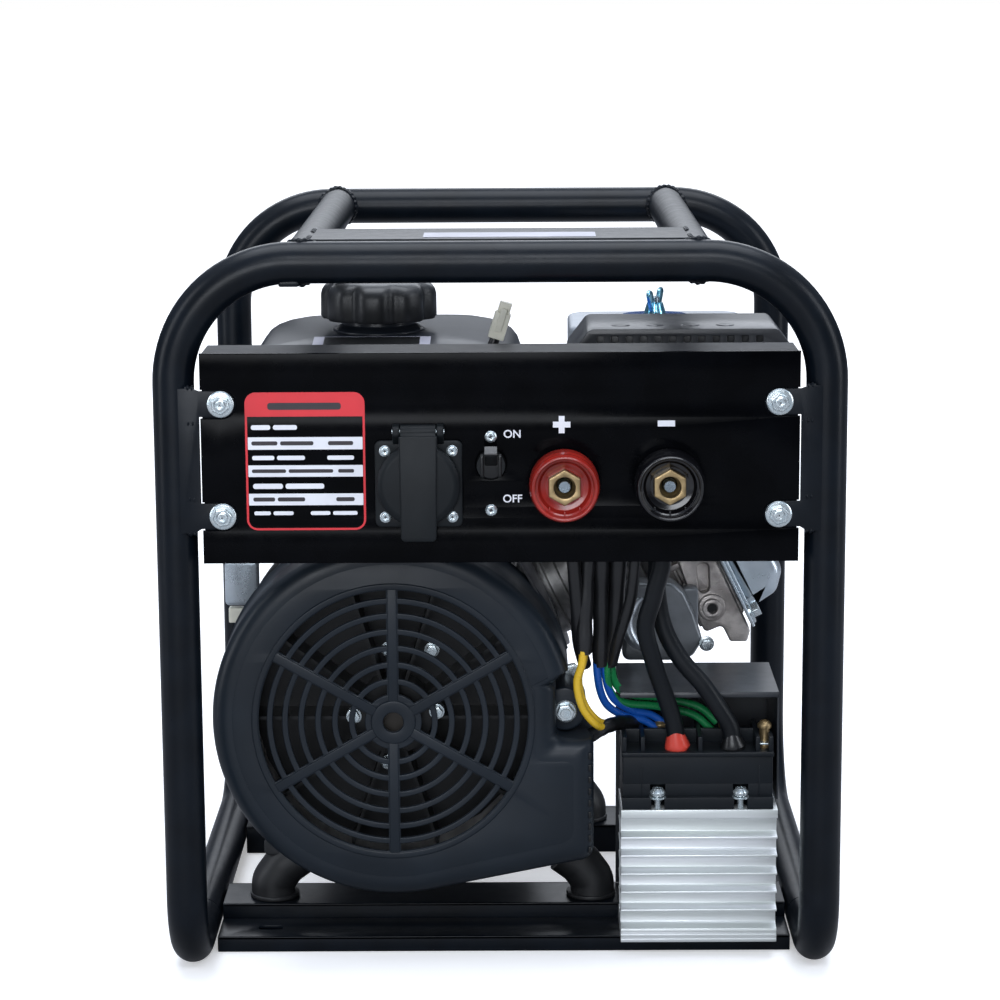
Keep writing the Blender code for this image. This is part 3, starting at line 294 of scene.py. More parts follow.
def softened(corners, radius, steps=5, closed=True):
    """Outline or route whose corners are replaced by arcs; radius is one number or one per corner."""
    corners = np.asarray(corners, float)
    count = len(corners)
    radii = np.broadcast_to(radius, count)
    made = [] if closed else [corners[:1]]
    for k in range(0 if closed else 1, count if closed else count - 1):
        corner, before, after = corners[k], corners[k - 1], corners[(k + 1) % count]
        back, on = before - corner, after - corner
        back_len, on_len = np.linalg.norm(back), np.linalg.norm(on)
        back, on = back / back_len, on / on_len
        half = math.acos(float(np.clip(back @ on, -0.9999, 0.9999))) / 2
        reach = min(radii[k] / math.tan(half), 0.49 * back_len, 0.49 * on_len)
        r = reach * math.tan(half)
        middle = corner + (back + on) / np.linalg.norm(back + on) * r / math.sin(half)
        a, b, sweep = corner + back * reach - middle, corner + on * reach - middle, math.pi - 2 * half
        t = np.linspace(0, 1, steps + 1)[:, None]
        made.append(middle + (np.sin((1 - t) * sweep) * a + np.sin(t * sweep) * b) / math.sin(sweep))
    return np.vstack(made + ([] if closed else [corners[-1:]]))


def swept(route, radius, sides=28, loop=False):
    """Round bar along a route: a circle of the local radius, square to the route at each station."""
    route = np.asarray(route, float)
    radius = np.broadcast_to(radius, len(route))
    way = (np.roll(route, -1, 0) - np.roll(route, 1, 0)) if loop else np.gradient(route, axis=0)
    way /= np.linalg.norm(way, axis=1)[:, None]
    side = np.cross(way[0], (0, 0, 1) if abs(way[0][2]) < 0.9 else (1, 0, 0))
    sides_at = []
    for direction in way:
        side = side - direction * (side @ direction)
        side = side / np.linalg.norm(side)
        sides_at.append(side)
    across = np.array(sides_at)
    over = np.cross(way, across)
    a = np.linspace(0, 2 * np.pi, sides, endpoint=False)
    rings = (route[:, None] + radius[:, None, None]
             * (np.cos(a)[None, :, None] * across[:, None] + np.sin(a)[None, :, None] * over[:, None]))
    return skin(rings, loop_rows=loop)


def slab(outlines, axis, low, high, edge=0.0, steps=2):
    """Flat outlines given a thickness along an axis, the later ones as holes; edge rounds the rims."""
    curve = bpy.data.curves.new("slab", "CURVE")
    curve.dimensions, curve.fill_mode = "2D", "BOTH"
    curve.extrude = (high - low) / 2 - edge
    curve.bevel_depth, curve.offset, curve.bevel_resolution = edge, -edge, steps
    for outline in outlines:
        spline = curve.splines.new("POLY")
        spline.points.add(len(outline) - 1)
        spline.points.foreach_set("co", np.c_[outline, np.zeros(len(outline)), np.ones(len(outline))].ravel())
        spline.use_cyclic_u = True
    holder = bpy.data.objects.new("slab", curve)
    mesh = bpy.data.meshes.new_from_object(holder)
    flat = np.zeros(len(mesh.vertices) * 3)
    mesh.vertices.foreach_get("co", flat)
    a, b, c = flat.reshape(-1, 3).T
    c = c + (low + high) / 2
    points = np.stack({"X": (c, a, b), "Y": (a, c, b), "Z": (a, b, c)}[axis], -1)
    faces = [list(p.vertices) for p in mesh.polygons]
    bpy.data.objects.remove(holder)
    bpy.data.curves.remove(curve)
    bpy.data.meshes.remove(mesh)
    return points, faces


def block(low, high, edge=0.5, corner=None, axis="Z"):
    """Rectangular block with round corners and softened rims."""
    i, j, k = {"X": (1, 2, 0), "Y": (0, 2, 1), "Z": (0, 1, 2)}[axis]
    outline = rounded(low[i], low[j], high[i], high[j], edge if corner is None else corner)
    return slab([outline], axis, low[k], high[k], edge)


def ring(centre, radius, steps=40):
    """Full circle as an outline, its last point one step short of its first."""
    return arc(centre, radius, 0, 360 * (1 - 1 / steps), steps - 1)


POWDER = finish("powder_coat", "powder_coat", (0.0026, 0.0045, 0.0075), 0.32, grain=1100, depth=0.0002,
                strength=0.16, mottle=0.25, drift=0.14, dust=0.01, specular=0.2)


def weld_bead(x, y, way, seed):
    """Rippled bead on the saddle where a rail meets a hoop of the same radius R:
    (x + R cos a, y + way R |cos a|, z + R sin a), its own radius waving 26 times round."""
    a = np.linspace(0, 2 * np.pi, 156, endpoint=False)
    ripple = 1.75 + 0.32 * np.sin(26 * a + seed) + 0.22 * np.sin(7 * a + 2 * seed)
    r = TUBE_R + 0.3
    line = np.stack([x + r * np.cos(a), y + way * (r * np.abs(np.cos(a)) + 0.6), TOP_Z + r * np.sin(a)], -1)
    return swept(line, ripple, sides=8, loop=True)


for name, side, node in (("front_tube", -1, "front_hoop"), ("rear_tube", 1, "rear_hoop")):
    joint = FLOOR_JOINT - 0.35 if side < 0 else FLOOR_JOINT + 0.35
    corners = [(-LEG_X, joint, TUBE_R), (-LEG_X, side * HOOP_Y, TUBE_R), (-LEG_X, side * HOOP_Y, TOP_Z),
               (LEG_X, side * HOOP_Y, TOP_Z), (LEG_X, side * HOOP_Y, TUBE_R), (LEG_X, joint, TUBE_R)]
    bends = softened(corners, (0, 60, 72, 72, 60, 0), steps=22, closed=False)
    shape = swept(bends, TUBE_R, sides=40)
    if side < 0:
        sleeves = [swept([(x, joint - 1.2, TUBE_R), (x, joint - 0.9, TUBE_R), (x, joint + 0.9, TUBE_R),
                          (x, joint + 1.2, TUBE_R)], (10.5, 11.6, 11.6, 10.5), 40) for x in (-LEG_X, LEG_X)]
        tab = block((-131.0, -199.0, 432.6), (-119.0, -188.0, 436.5), 1.2)
        shape = joined(shape, *sleeves, tab)
    put(name, shape, POWDER, stands_for=(node,))
for name, side in (("top_rail_tube_left", -1), ("top_rail_tube_right", 1)):
    rail = swept([(side * RAIL_X, y, TOP_Z) for y in np.linspace(-HOOP_Y, HOOP_Y, 12)], TUBE_R, 40)
    beads = [weld_bead(side * RAIL_X, way * HOOP_Y, -way, side + 2 * way) for way in (-1, 1)]
    put(name, joined(rail, *beads), POWDER, stands_for=("top_rail_left" if side < 0 else "top_rail_right",))

strip_low, strip_high = BOLT_ZS[0] - 10.5, BOLT_ZS[1] + 9.5
for name, side in (("panel_bracket_left", -1), ("panel_bracket_right", 1)):
    ear = EAR_HALF - 0.8
    outline = [(183.5, strip_low), (192.0, strip_low), (192.0, strip_high), (183.5, strip_high)]
    outline = np.vstack([outline, [(179.2, BOLT_ZS[1] + ear)], arc((EAR_X, BOLT_ZS[1]), ear, 90, 270, 16),
                         [(179.2, BOLT_ZS[1] - ear), (179.2, BOLT_ZS[0] + ear)],
                         arc((EAR_X, BOLT_ZS[0]), ear, 90, 270, 16), [(179.2, BOLT_ZS[0] - ear)]])
    tacks = [swept([(side * x, -203.2, z) for x in np.linspace(182.5, 187.5, 8)],
                   1.5 + 0.5 * np.sin(np.arange(8) * 1.7), 10) for z in (strip_low, 352.0, 306.0, strip_high)]
    plate = slab([outline * (side, 1)], "Y", PANEL_FRONT + 1.0, PANEL_FRONT + 2.9, 0.35)
    put(name, joined(plate, *tacks), POWDER)

# Flat plate between the top rails, with a blank pale label on its middle.
PLATE_X = RAIL_X - 4.5
plate = slab([rounded(-PLATE_X, -178.0, PLATE_X, -112.0, 3.0)], "Z", 456.6, 458.8, 0.5)
welds = [swept([(side * (PLATE_X + 1.2), y, 458.0) for y in np.linspace(y0, y0 + 16, 12)],
               1.5 + 0.4 * np.sin(np.arange(12) * 1.9), 10) for side in (-1, 1) for y0 in (-176.0, -132.0)]
put("top_cross_plate", joined(plate, *welds), POWDER, stands_for=("top_plate",))
LABEL = finish("blank_label", "zinc", (0.34, 0.34, 0.4), 0.35, metal=0.1, grain=900, strength=0.1, patch=20)
put("top_label", slab([rounded(-46.0, -170.0, 58.0, -142.0, 1.5)], "Z", 458.85, 459.1, 0.08), LABEL)

# ---- Base members and rubber mounts ---------------------------------------------------------------
# Each base member is one folded sheet between the floor rails: a lip, a low flange with an oval
# clamp hole, a step and a high flange that carries two leaning bonded rubber mounts.
BASE_X, LOW_Z, HIGH_Z, SHEET = 182.6, 10.0, 19.7, 2.0
for name, side in (("front_base_member", -1), ("rear_base_member", 1)):
    outer, step, inner = side * 143.0, side * 106.5, side * 63.0
    y_low, y_mid = sorted((outer, step))
    oval = [softened([(x - 8, m - 4), (x + 8, m - 4), (x + 8, m + 4), (x - 8, m + 4)], 3.9)
            for x in (-150.0, 150.0) for m in ((outer + step) / 2,)]
    low_flange = slab([rounded(-BASE_X, y_low, BASE_X, y_mid, 1.0)] + oval, "Z", LOW_Z - SHEET, LOW_Z, 0.4)
    y0, y1 = sorted((step, inner))
    high_flange = slab([rounded(-BASE_X, y0, BASE_X, y1, 1.0)], "Z", HIGH_Z - SHEET, HIGH_Z, 0.5)
    walls = [block((-BASE_X, min(y, y - side * SHEET), z0), (BASE_X, max(y, y - side * SHEET), z1), 0.6, 0.6)
             for y, z0, z1 in ((outer, 0.0, LOW_Z), (step, LOW_Z - 1.5, HIGH_Z))]
    inner_lip = block((-BASE_X, min(inner, inner + side * SHEET), 0.0),
                      (BASE_X, max(inner, inner + side * SHEET), HIGH_Z), 0.6, 0.6)
    # Under each oval hole a dark coated plate hides the bright floor: painted shade in the hole, not a real
    # part.
    shade_plates = [block((x - 11, min(outer, step) + 6, LOW_Z - 4.5), (x + 11, max(outer, step) - 6, LOW_Z - 2.4),
                    0.4) for x in (-150, 150)]
    put(name.replace("member", "hole_shade_plates"), joined(*shade_plates), POWDER)
    put(name, joined(low_flange, high_flange, inner_lip, *walls), POWDER,
        stands_for=("front_base_rail" if side < 0 else "rear_base_rail",))


def turned(profile, centre, axis="Z", sides=40, loop=False):
    """Profile of (radius, place along the axis) carried round the axis through a centre."""
    profile = np.asarray(profile, float)
    r = np.maximum(profile[:, 0], 0.02)[:, None]
    a = np.linspace(0, 2 * np.pi, sides, endpoint=False)
    u, v, w = r * np.cos(a), r * np.sin(a), np.broadcast_to(profile[:, 1][:, None], (len(profile), sides))
    i, j = {"X": (1, 2), "Y": (0, 2), "Z": (0, 1)}[axis]
    grid = np.zeros((len(profile), sides, 3))
    grid[..., i], grid[..., j] = u + centre[0], v + centre[1]
    grid[..., 3 - i - j] = w
    return skin(grid, loop_rows=loop)


def tilted(shape, turn, pivot, axis="Y", shift=(0.0, 0.0, 0.0)):
    """Shape turned about an axis through a pivot, then shifted; about Y, + lifts +X towards +Z."""
    points = np.array(shape[0], float) - pivot
    i, j = {"X": (1, 2), "Y": (0, 2), "Z": (0, 1)}[axis]
    a, b = points[:, i].copy(), points[:, j].copy()
    points[:, i] = a * math.cos(turn) - b * math.sin(turn)
    points[:, j] = a * math.sin(turn) + b * math.cos(turn)
    return points + pivot + shift, shape[1]


RUBBER = finish("mount_rubber", "rubber", (0.008, 0.0085, 0.0095), 0.5, grain=2200, strength=0.3, drift=0.12,
                dust=0.05)
for name, x, y, lean in (("front_left", -150.0, -88.0, 1), ("front_right", 57.0, -88.0, -1),
                         ("rear_left", -150.0, 82.0, 1), ("rear_right", 57.0, 82.0, -1)):
    foot = HIGH_Z + 0.3
    washer = turned(softened([(0, foot), (16, foot), (16, foot + 2.6), (0, foot + 2.6)], (0, 0.6, 0.6, 0),
                             3), (x, y))
    route = [(x - 1.0 * lean, y, foot + 1.0), (x - 1.0 * lean, y, foot + 10.0),
             (x + 7.0 * lean, y, foot + 21.0),
             (x + 18.0 * lean, y, foot + 29.0)]
    barrel = swept(softened(route, (0, 9, 9, 0), 8, closed=False), 14.2, 36)
    barrel[0][:, 2] = np.maximum(barrel[0][:, 2], foot + 0.4)
    put("rubber_mount_" + name, joined(washer, barrel), RUBBER, stands_for=("mount_" + name,))

# ---- Control panel --------------------------------------------------------------------------------
# A gloss black fascia lies on a folded steel tray; U-shaped notches at its ends clear the ears of the
# brackets, and four zinc plated flange bolts hold it there.
TRAY = finish("tray_coat", "powder_coat", (0.008, 0.01, 0.015), 0.42, grain=1300, strength=0.15, dust=0.0,
              specular=0.06)
GLOSS = finish("fascia_gloss", "fascia_gloss", (0.0012, 0.0014, 0.002), 0.16, grain=500, depth=0.00004,
               strength=0.05, mottle=0.3, drift=0.08, specular=0.06)
ZINC = finish("zinc_plate", "zinc", (0.58, 0.68, 0.72), 0.25, metal=0.8, grain=900, depth=0.00006,
              mottle=0.14,
              tint=(0.5, 0.54, 0.55), patch=300, drift=0.2)
# Dark zinc for the floors of cross recesses and for the socket's contacts: painted shade for the shadow deep
# in these hollows.
ZINC_SHADE = finish("recess_painted_shade", "zinc", (0.06, 0.06, 0.065), 0.6, metal=0.4, grain=1500)
SOCKET_X, SOCKET_Z, BREAKER_X, BREAKER_Z, TERMINAL_Z = -48.7, 315.6, -5.6, 326.6, 316.0
POLES = (("plus", 38.0), ("minus", 100.3))

paint(TRAY, "control_panel")
edge = [(-PANEL_X, PANEL_LOW), (PANEL_X, PANEL_LOW)]
for z in BOLT_ZS:
    edge += [(PANEL_X, z - EAR_HALF), *arc((EAR_X, z), EAR_HALF, 270, 90, 16), (PANEL_X, z + EAR_HALF)]
edge += [(PANEL_X, PANEL_HIGH), (-PANEL_X, PANEL_HIGH)]
for z in BOLT_ZS[::-1]:
    edge += [(-PANEL_X, z + EAR_HALF), *arc((-EAR_X, z), EAR_HALF, 90, -90, 16), (-PANEL_X, z - EAR_HALF)]
holes = [ring((SOCKET_X, SOCKET_Z), 21.0), ring((BREAKER_X, BREAKER_Z), 9.0)]
holes += [ring((x, TERMINAL_Z), 13.9) for _, x in POLES]
put("fascia", slab([np.array(edge, float)] + holes, "Y", PANEL_FRONT, PANEL_FRONT + 2.9, 0.55), GLOSS,
    stands_for=("panel_fascia",))


def cross(centre, reach, half):
    """Plus-shaped outline with arms of a given reach and half width."""
    corner = [(half, reach), (half, half), (reach, half), (reach, -half), (half, -half), (half, -reach)]
    corner += [(-a, -b) for a, b in corner]
    return np.array(corner, float) + centre


def drum(centre, profile, sides=40):
    """Round piece facing the front; profile is (radius, distance in front of the fascia)."""
    return turned([(r, PANEL_FRONT - d) for r, d in profile], centre, "Y", sides)


def screw_head(centre, radius, rise, base, spin=0.3):
    """Domed head with a cross recess cut through its cap, standing on the fascia or on a piece; also gives
    the recess's floor, which takes a painted shade colour.
    """
    dome = softened([(0, base), (radius, base), (radius, base + rise * 0.45), (radius * 0.62, base + rise)],
                    0.7, 5)
    dome = np.vstack([dome[:-1], [(0.0, base + rise * 0.82)]])
    turned_cross = cross((0, 0), radius * 0.52, radius * 0.13)
    c, s = math.cos(spin), math.sin(spin)
    turned_cross = turned_cross @ np.array([[c, s], [-s, c]]) + centre
    cap = slab([ring(centre, radius * 0.66, 28), turned_cross], "Y", PANEL_FRONT - base - rise * 1.04,
               PANEL_FRONT - base - rise * 0.7, 0.12)
    slot = slab([turned_cross], "Y", PANEL_FRONT - base - rise * 0.84, PANEL_FRONT - base - rise * 0.5)
    return joined(drum(centre, dome, 28), cap), slot


def hexagon(centre, radius, spin=0.0):
    """Regular hexagon by its corner radius, turned by spin degrees."""
    a = np.radians(np.arange(6) * 60 + spin)
    return np.stack([centre[0] + radius * np.cos(a), centre[1] + radius * np.sin(a)], -1)


bright, dark = [], []
for side in (-1, 1):
    for z, spin in zip(BOLT_ZS, (14.0, 41.0)):
        at = (side * BOLT_X, z)
        washer = drum(at, softened([(0, -0.8), (8.0, -0.8), (8.0, 0.4), (7.2, 1.0), (0, 1.3)],
                                   (0, .3, .3, .3, 0), 4))
        head = slab([softened(hexagon(at, 5.9, spin + 3 * side), 0.5, 3)], "Y", PANEL_FRONT - 4.8,
                    PANEL_FRONT - 0.6, 0.7)
        cap, slot = screw_head(at, 4.3, 1.3, 4.0, math.radians(spin * 2.0))
        bright += [washer, head, cap]
        dark.append(slot)
put("fascia_bolts", joined(*bright), ZINC, crease=24)
# The recess floors are painted shade.
put("fascia_bolt_recesses", joined(*dark), ZINC_SHADE)

# ---- Rating plate and legends ---------------------------------------------------------------------
# Screen print a tenth of a millimetre thick: a red rounded frame with a header, striped rows whose
# words are plain bars, and the marks beside the switch and over the terminals.
RED_INK = finish("red_ink", "red_plastic", (0.62, 0.02, 0.03), 0.35, grain=1200, strength=0.08, mottle=0.06)
WHITE_INK = finish("white_ink", "zinc", (0.74, 0.75, 0.8), 0.4, grain=1200, strength=0.08, mottle=0.05)
BLACK_INK = finish("black_ink", "fascia_gloss", (0.02, 0.015, 0.02), 0.4, grain=1200, strength=0.08)
PLATE_X0, PLATE_X1, PLATE_Z0, PLATE_Z1 = -151.9, -80.5, 287.2, 370.7
RIM = 1.3


def print_on(outlines, layer=1):
    """Ink 0.12 mm thick on the fascia, each layer 0.1 mm further out than the last."""
    return slab(outlines, "Y", PANEL_FRONT - 0.1 * layer, PANEL_FRONT - 0.1 * layer + 0.12)


outer = rounded(PLATE_X0, PLATE_Z0, PLATE_X1, PLATE_Z1, 6.6, 10)
inner = rounded(PLATE_X0 + RIM, PLATE_Z0 + RIM, PLATE_X1 - RIM, 356.1, 5.0, 10)
inner[12:, 1] = np.where(inner[12:, 1] > 350, 356.1, inner[12:, 1])
put("plate_frame", print_on([outer, inner]), RED_INK)
stripes = ((343.7, 336.2), (326.7, 319.7), (309.5, 302.4))
put("plate_stripes", joined(*[print_on([rounded(PLATE_X0 + RIM + 0.2, low, PLATE_X1 - RIM - 0.2, high, 0.3)],
                                       1)
                              for high, low in stripes]), WHITE_INK)
WORDS_ON_BLACK = ((349.6, 4.0, ((-148.4, 27.5),)), (331.2, 3.6, ((-148.0, 31.5), (-103.2, 16.0))),
                  (314.0, 4.4, ((-147.8, 42.5),)), (297.6, 3.2, ((-147.4, 23.5), (-113.6, 28.0))))
WORDS_ON_WHITE = ((340.0, 3.4, ((-148.3, 37.0), (-102.6, 15.0))),
                  (323.2, 3.0, ((-148.3, 48.5), (-96.8, 9.5))),
                  (306.0, 3.4, ((-147.8, 31.0), (-98.2, 11.0))))


def bars(rows):
    """Plain round-ended bars, each long one split once as two words would be."""
    made = []
    for z, tall, words in rows:
        for x, long in words:
            cut = x + long * (0.42 if long > 20 else 1.0)
            spans = [(x, cut)] + ([(cut + 1.6, x + long)] if long > 20 else [])
            made += [rounded(a, z - tall * 0.36, b, z + tall * 0.36, tall * 0.3, 4) for a, b in spans]
    return made


put("plate_words_light", joined(*[print_on([o], 2) for o in bars(WORDS_ON_BLACK)]), WHITE_INK)
put("plate_words_dark", joined(*[print_on([o], 2) for o in bars(WORDS_ON_WHITE)]
                               + [print_on([rounded(-138.4, 360.2, -94.6, 364.4, 1.6)], 2)]), BLACK_INK)


def lettering(words, centre, tall):
    """Bold printed word, its capitals of a given height, as a thin solid."""
    text = bpy.data.curves.new("word", "FONT")
    text.body, text.align_x, text.align_y = words, "CENTER", "CENTER"
    text.size, text.offset, text.extrude, text.resolution_u = tall / 0.69, tall * 0.022, 0.06, 4
    holder = bpy.data.objects.new("word", text)
    mesh = bpy.data.meshes.new_from_object(holder)
    flat = np.zeros(len(mesh.vertices) * 3)
    mesh.vertices.foreach_get("co", flat)
    a, b, c = flat.reshape(-1, 3).T
    points = np.stack([a + centre[0], PANEL_FRONT - 0.05 + c, b + centre[1]], -1)
    faces = [list(p.vertices) for p in mesh.polygons]
    bpy.data.objects.remove(holder)
    bpy.data.curves.remove(text)
    bpy.data.meshes.remove(mesh)
    return points, faces


marks = [lettering("ON", (7.2, 344.8), 4.6), lettering("OFF", (7.2, 305.6), 4.6),
         print_on([cross((36.6, 350.5), 5.2, 1.75)]), print_on([rounded(93.75, 349.1, 104.05, 352.7, 0.2)])]
put("legends", joined(*marks), WHITE_INK)

# ---- Auxiliary socket -----------------------------------------------------------------------------
# Moulded body with a square flange and four cross-recess screws; a sprung round lid with a broad
# strap hangs from a pin at the top.
MOULDED = finish("moulded_black", "black_plastic", (0.0045, 0.0064, 0.008), 0.46, grain=1900, depth=0.00012,
                 strength=0.35, mottle=0.15, drift=0.1, dust=0.01, specular=0.2)
DARK_PLASTIC = finish("dark_plastic", "black_plastic", (0.006, 0.0065, 0.007), 0.3, grain=1500, strength=0.12,
                      specular=0.35)
half = 26.1
face = PANEL_FRONT - 3.3
flange = slab([rounded(SOCKET_X - half, SOCKET_Z - half, SOCKET_X + half, SOCKET_Z + half, 3.6),
               ring((SOCKET_X, SOCKET_Z), 19.2)], "Y", face, PANEL_FRONT - 0.3, 0.7)
rim = turned(softened([(19.0, face + 0.6), (19.0, face - 2.4), (20.6, face - 2.4), (20.6, face + 0.6)], 0.4,
                      3),
             (SOCKET_X, SOCKET_Z), "Y", 48, loop=True)
well = turned([(19.2, face + 1.0), (19.2, face + 20.0), (0.0, face + 20.0), (0.0, face + 21.5),
               (20.4, face + 21.5),
               (20.4, face + 1.0)], (SOCKET_X, SOCKET_Z), "Y", 48, loop=True)
pins = [turned([(2.6, face + 19.6), (2.6, face + 20.4)], (SOCKET_X + dx, SOCKET_Z), "Y", 20)
        for dx in (-9.5, 9.5)]
hinge_y, hinge_z = PANEL_FRONT - 5.9, SOCKET_Z + 32.0
lugs = []
for x0, x1 in ((-15.2, -11.0), (11.0, 15.2)):
    outline = softened([(face + 2.0, SOCKET_Z + 24), (face - 0.4, SOCKET_Z + 24),
                        (hinge_y - 4.2, hinge_z - 2),
                        (hinge_y - 4.0, hinge_z + 3.6), (hinge_y + 3.4, hinge_z + 4.4),
                        (face + 2.0, hinge_z + 3.6)], 2.0)
    lugs.append(slab([outline], "X", SOCKET_X + x0, SOCKET_X + x1, 0.5))
put("socket_housing", joined(flange, rim, well, *lugs), MOULDED, stands_for=("socket_body",))
# The contacts deep in the well are coloured dark: painted shade.
put("socket_contacts", joined(*pins), ZINC_SHADE)
put("socket_pin", turned([(1.5, SOCKET_X - 15.6), (1.5, SOCKET_X + 15.6)], (hinge_y, hinge_z), "X", 20), ZINC)
bright, dark = [], []
for dx, dz, spin in ((-20, 20, 0.2), (20, 20, 0.9), (-20, -20, 1.3), (20, -20, 0.5)):
    cap, slot = screw_head((SOCKET_X + dx, SOCKET_Z + dz), 3.5, 1.5, 3.3, spin)
    bright.append(cap)
    dark.append(slot)
for z, spin in ((343.5, 0.1), (299.0, 1.2)):
    cap, slot = screw_head((BREAKER_X, z), 3.6, 2.0, 0.0, spin)
    bright.append(cap)
    dark.append(slot)
put("panel_screws", joined(*bright), ZINC)
# The recess floors are painted shade.
put("panel_screw_recesses", joined(*dark), ZINC_SHADE)

lid_back = face - 3.4 + 2.8
disc = turned(softened([(0, lid_back), (24.6, lid_back), (25.0, lid_back - 4.4), (22.0, lid_back - 6.6),
                        (0, lid_back - 7.2)],
                       (0, .5, 1.6, 5.0, 0), 5), (SOCKET_X, SOCKET_Z), "Y", 64)
strap = slab([softened([(SOCKET_X - 10.5, SOCKET_Z - 33.5), (SOCKET_X + 10.5, SOCKET_Z - 33.5),
                        (SOCKET_X + 11.5, hinge_z - 2), (SOCKET_X - 11.5, hinge_z - 2)],
                       (2.6, 2.6, 0.6, 0.6))],
             "Y", lid_back - 8.6, lid_back - 1.0, 0.8)
knuckle = turned(softened([(0, SOCKET_X - 10.6), (4.3, SOCKET_X - 10.6), (4.3, SOCKET_X + 10.6),
                           (0, SOCKET_X + 10.6)],
                          (0, 0.5, 0.5, 0), 3), (hinge_y, hinge_z), "X", 32)
web = slab([[(lid_back - 8.6, hinge_z - 6), (lid_back - 1.0, hinge_z - 6), (hinge_y + 3.6, hinge_z),
             (hinge_y - 4.2, hinge_z)]],
           "X", SOCKET_X - 10.4, SOCKET_X + 10.4, 0.2)
put("socket_cover", joined(disc, strap, knuckle, web), MOULDED, "socket_lid", ("socket_lid",), crease=28)

# ---- Breaker --------------------------------------------------------------------------------------
# Round bush with two side cheeks; a short toggle with a worn grey tip stands up when it is on.
bush = drum((BREAKER_X, BREAKER_Z), softened([(0, -1.0), (8.9, -1.0), (8.9, 0.8), (7.9, 3.6), (0, 3.6)],
                                              (0, .4, .6, 1.0, 0), 4))
cheeks = [block((BREAKER_X + x0, PANEL_FRONT - 6.2, BREAKER_Z - 7.2),
                (BREAKER_X + x1, PANEL_FRONT - 1.0, BREAKER_Z + 7.2),
                0.5, 2.0, "X") for x0, x1 in ((-6.4, -4.3), (4.3, 6.4))]
put("breaker_bush", joined(bush, *cheeks), DARK_PLASTIC)
paint(MOULDED, "breaker_body")
pivot = (BREAKER_X, PANEL_FRONT + 1.7, BREAKER_Z)
grip = softened([(-3.4, -3.4), (-15.4, -3.0), (-17.4, -2.2), (-17.4, 2.2), (-15.4, 3.0), (-3.4, 3.4)],
                (.3, .8, 1, 1, .8, .3), 4)
lever = slab([grip + (pivot[1], pivot[2])], "X", BREAKER_X - 3.7, BREAKER_X + 3.7, 0.6)
hub = turned(softened([(0, BREAKER_X - 3.7), (4.6, BREAKER_X - 3.7), (4.6, BREAKER_X + 3.7),
                       (0, BREAKER_X + 3.7)],
                      (0, .5, .5, 0), 3), (pivot[1], BREAKER_Z), "X", 32)
put("toggle", tilted(joined(lever, hub), math.radians(-38), pivot, "X"), DARK_PLASTIC, "breaker_toggle",
    ("breaker_toggle",))
WORN_GREY = finish("worn_grey", "grey_plastic", (0.13, 0.13, 0.13), 0.4, grain=1200, strength=0.2, mottle=0.3)
tip = slab([softened([(-16.2, -3.0), (-17.6, -2.3), (-17.6, 2.5), (-13.0, 3.25), (-13.0, 2.2), (-16.2, 1.6)],
                     0.5, 4) + (pivot[1], pivot[2])],
           "X", BREAKER_X - 3.8, BREAKER_X + 3.8, 0.5)
put("toggle_tip", tilted(tip, math.radians(-38), pivot, "X"), WORN_GREY, "breaker_toggle")

# ---- Weld terminals -------------------------------------------------------------------------------
# A fixed steel stud with a thread stands in the panel; a cupped insulating knob with a brass hexagon
# pressed into it turns on the stud, and does not travel along it.
RED_PLASTIC = finish("knob_red", "red_plastic", (0.27, 0.016, 0.011), 0.2, grain=700, depth=0.0001,
                     strength=0.1,
                     mottle=0.25, drift=0.15, specular=0.6)
BLACK_KNOB = finish("knob_black", "black_plastic", (0.004, 0.004, 0.005), 0.16, grain=700, depth=0.0001,
                    strength=0.1, drift=0.12, specular=0.6)
BRASS = finish("turned_brass", "brass", (0.36, 0.26, 0.13), 0.36, metal=0.85, grain=1600, mottle=0.22,
               patch=160,
               tint=(0.37, 0.27, 0.14), drift=0.2)
STEEL = finish("turned_steel", "steel", (0.26, 0.31, 0.35), 0.28, metal=1.0, grain=1500, mottle=0.2,
               drift=0.2)
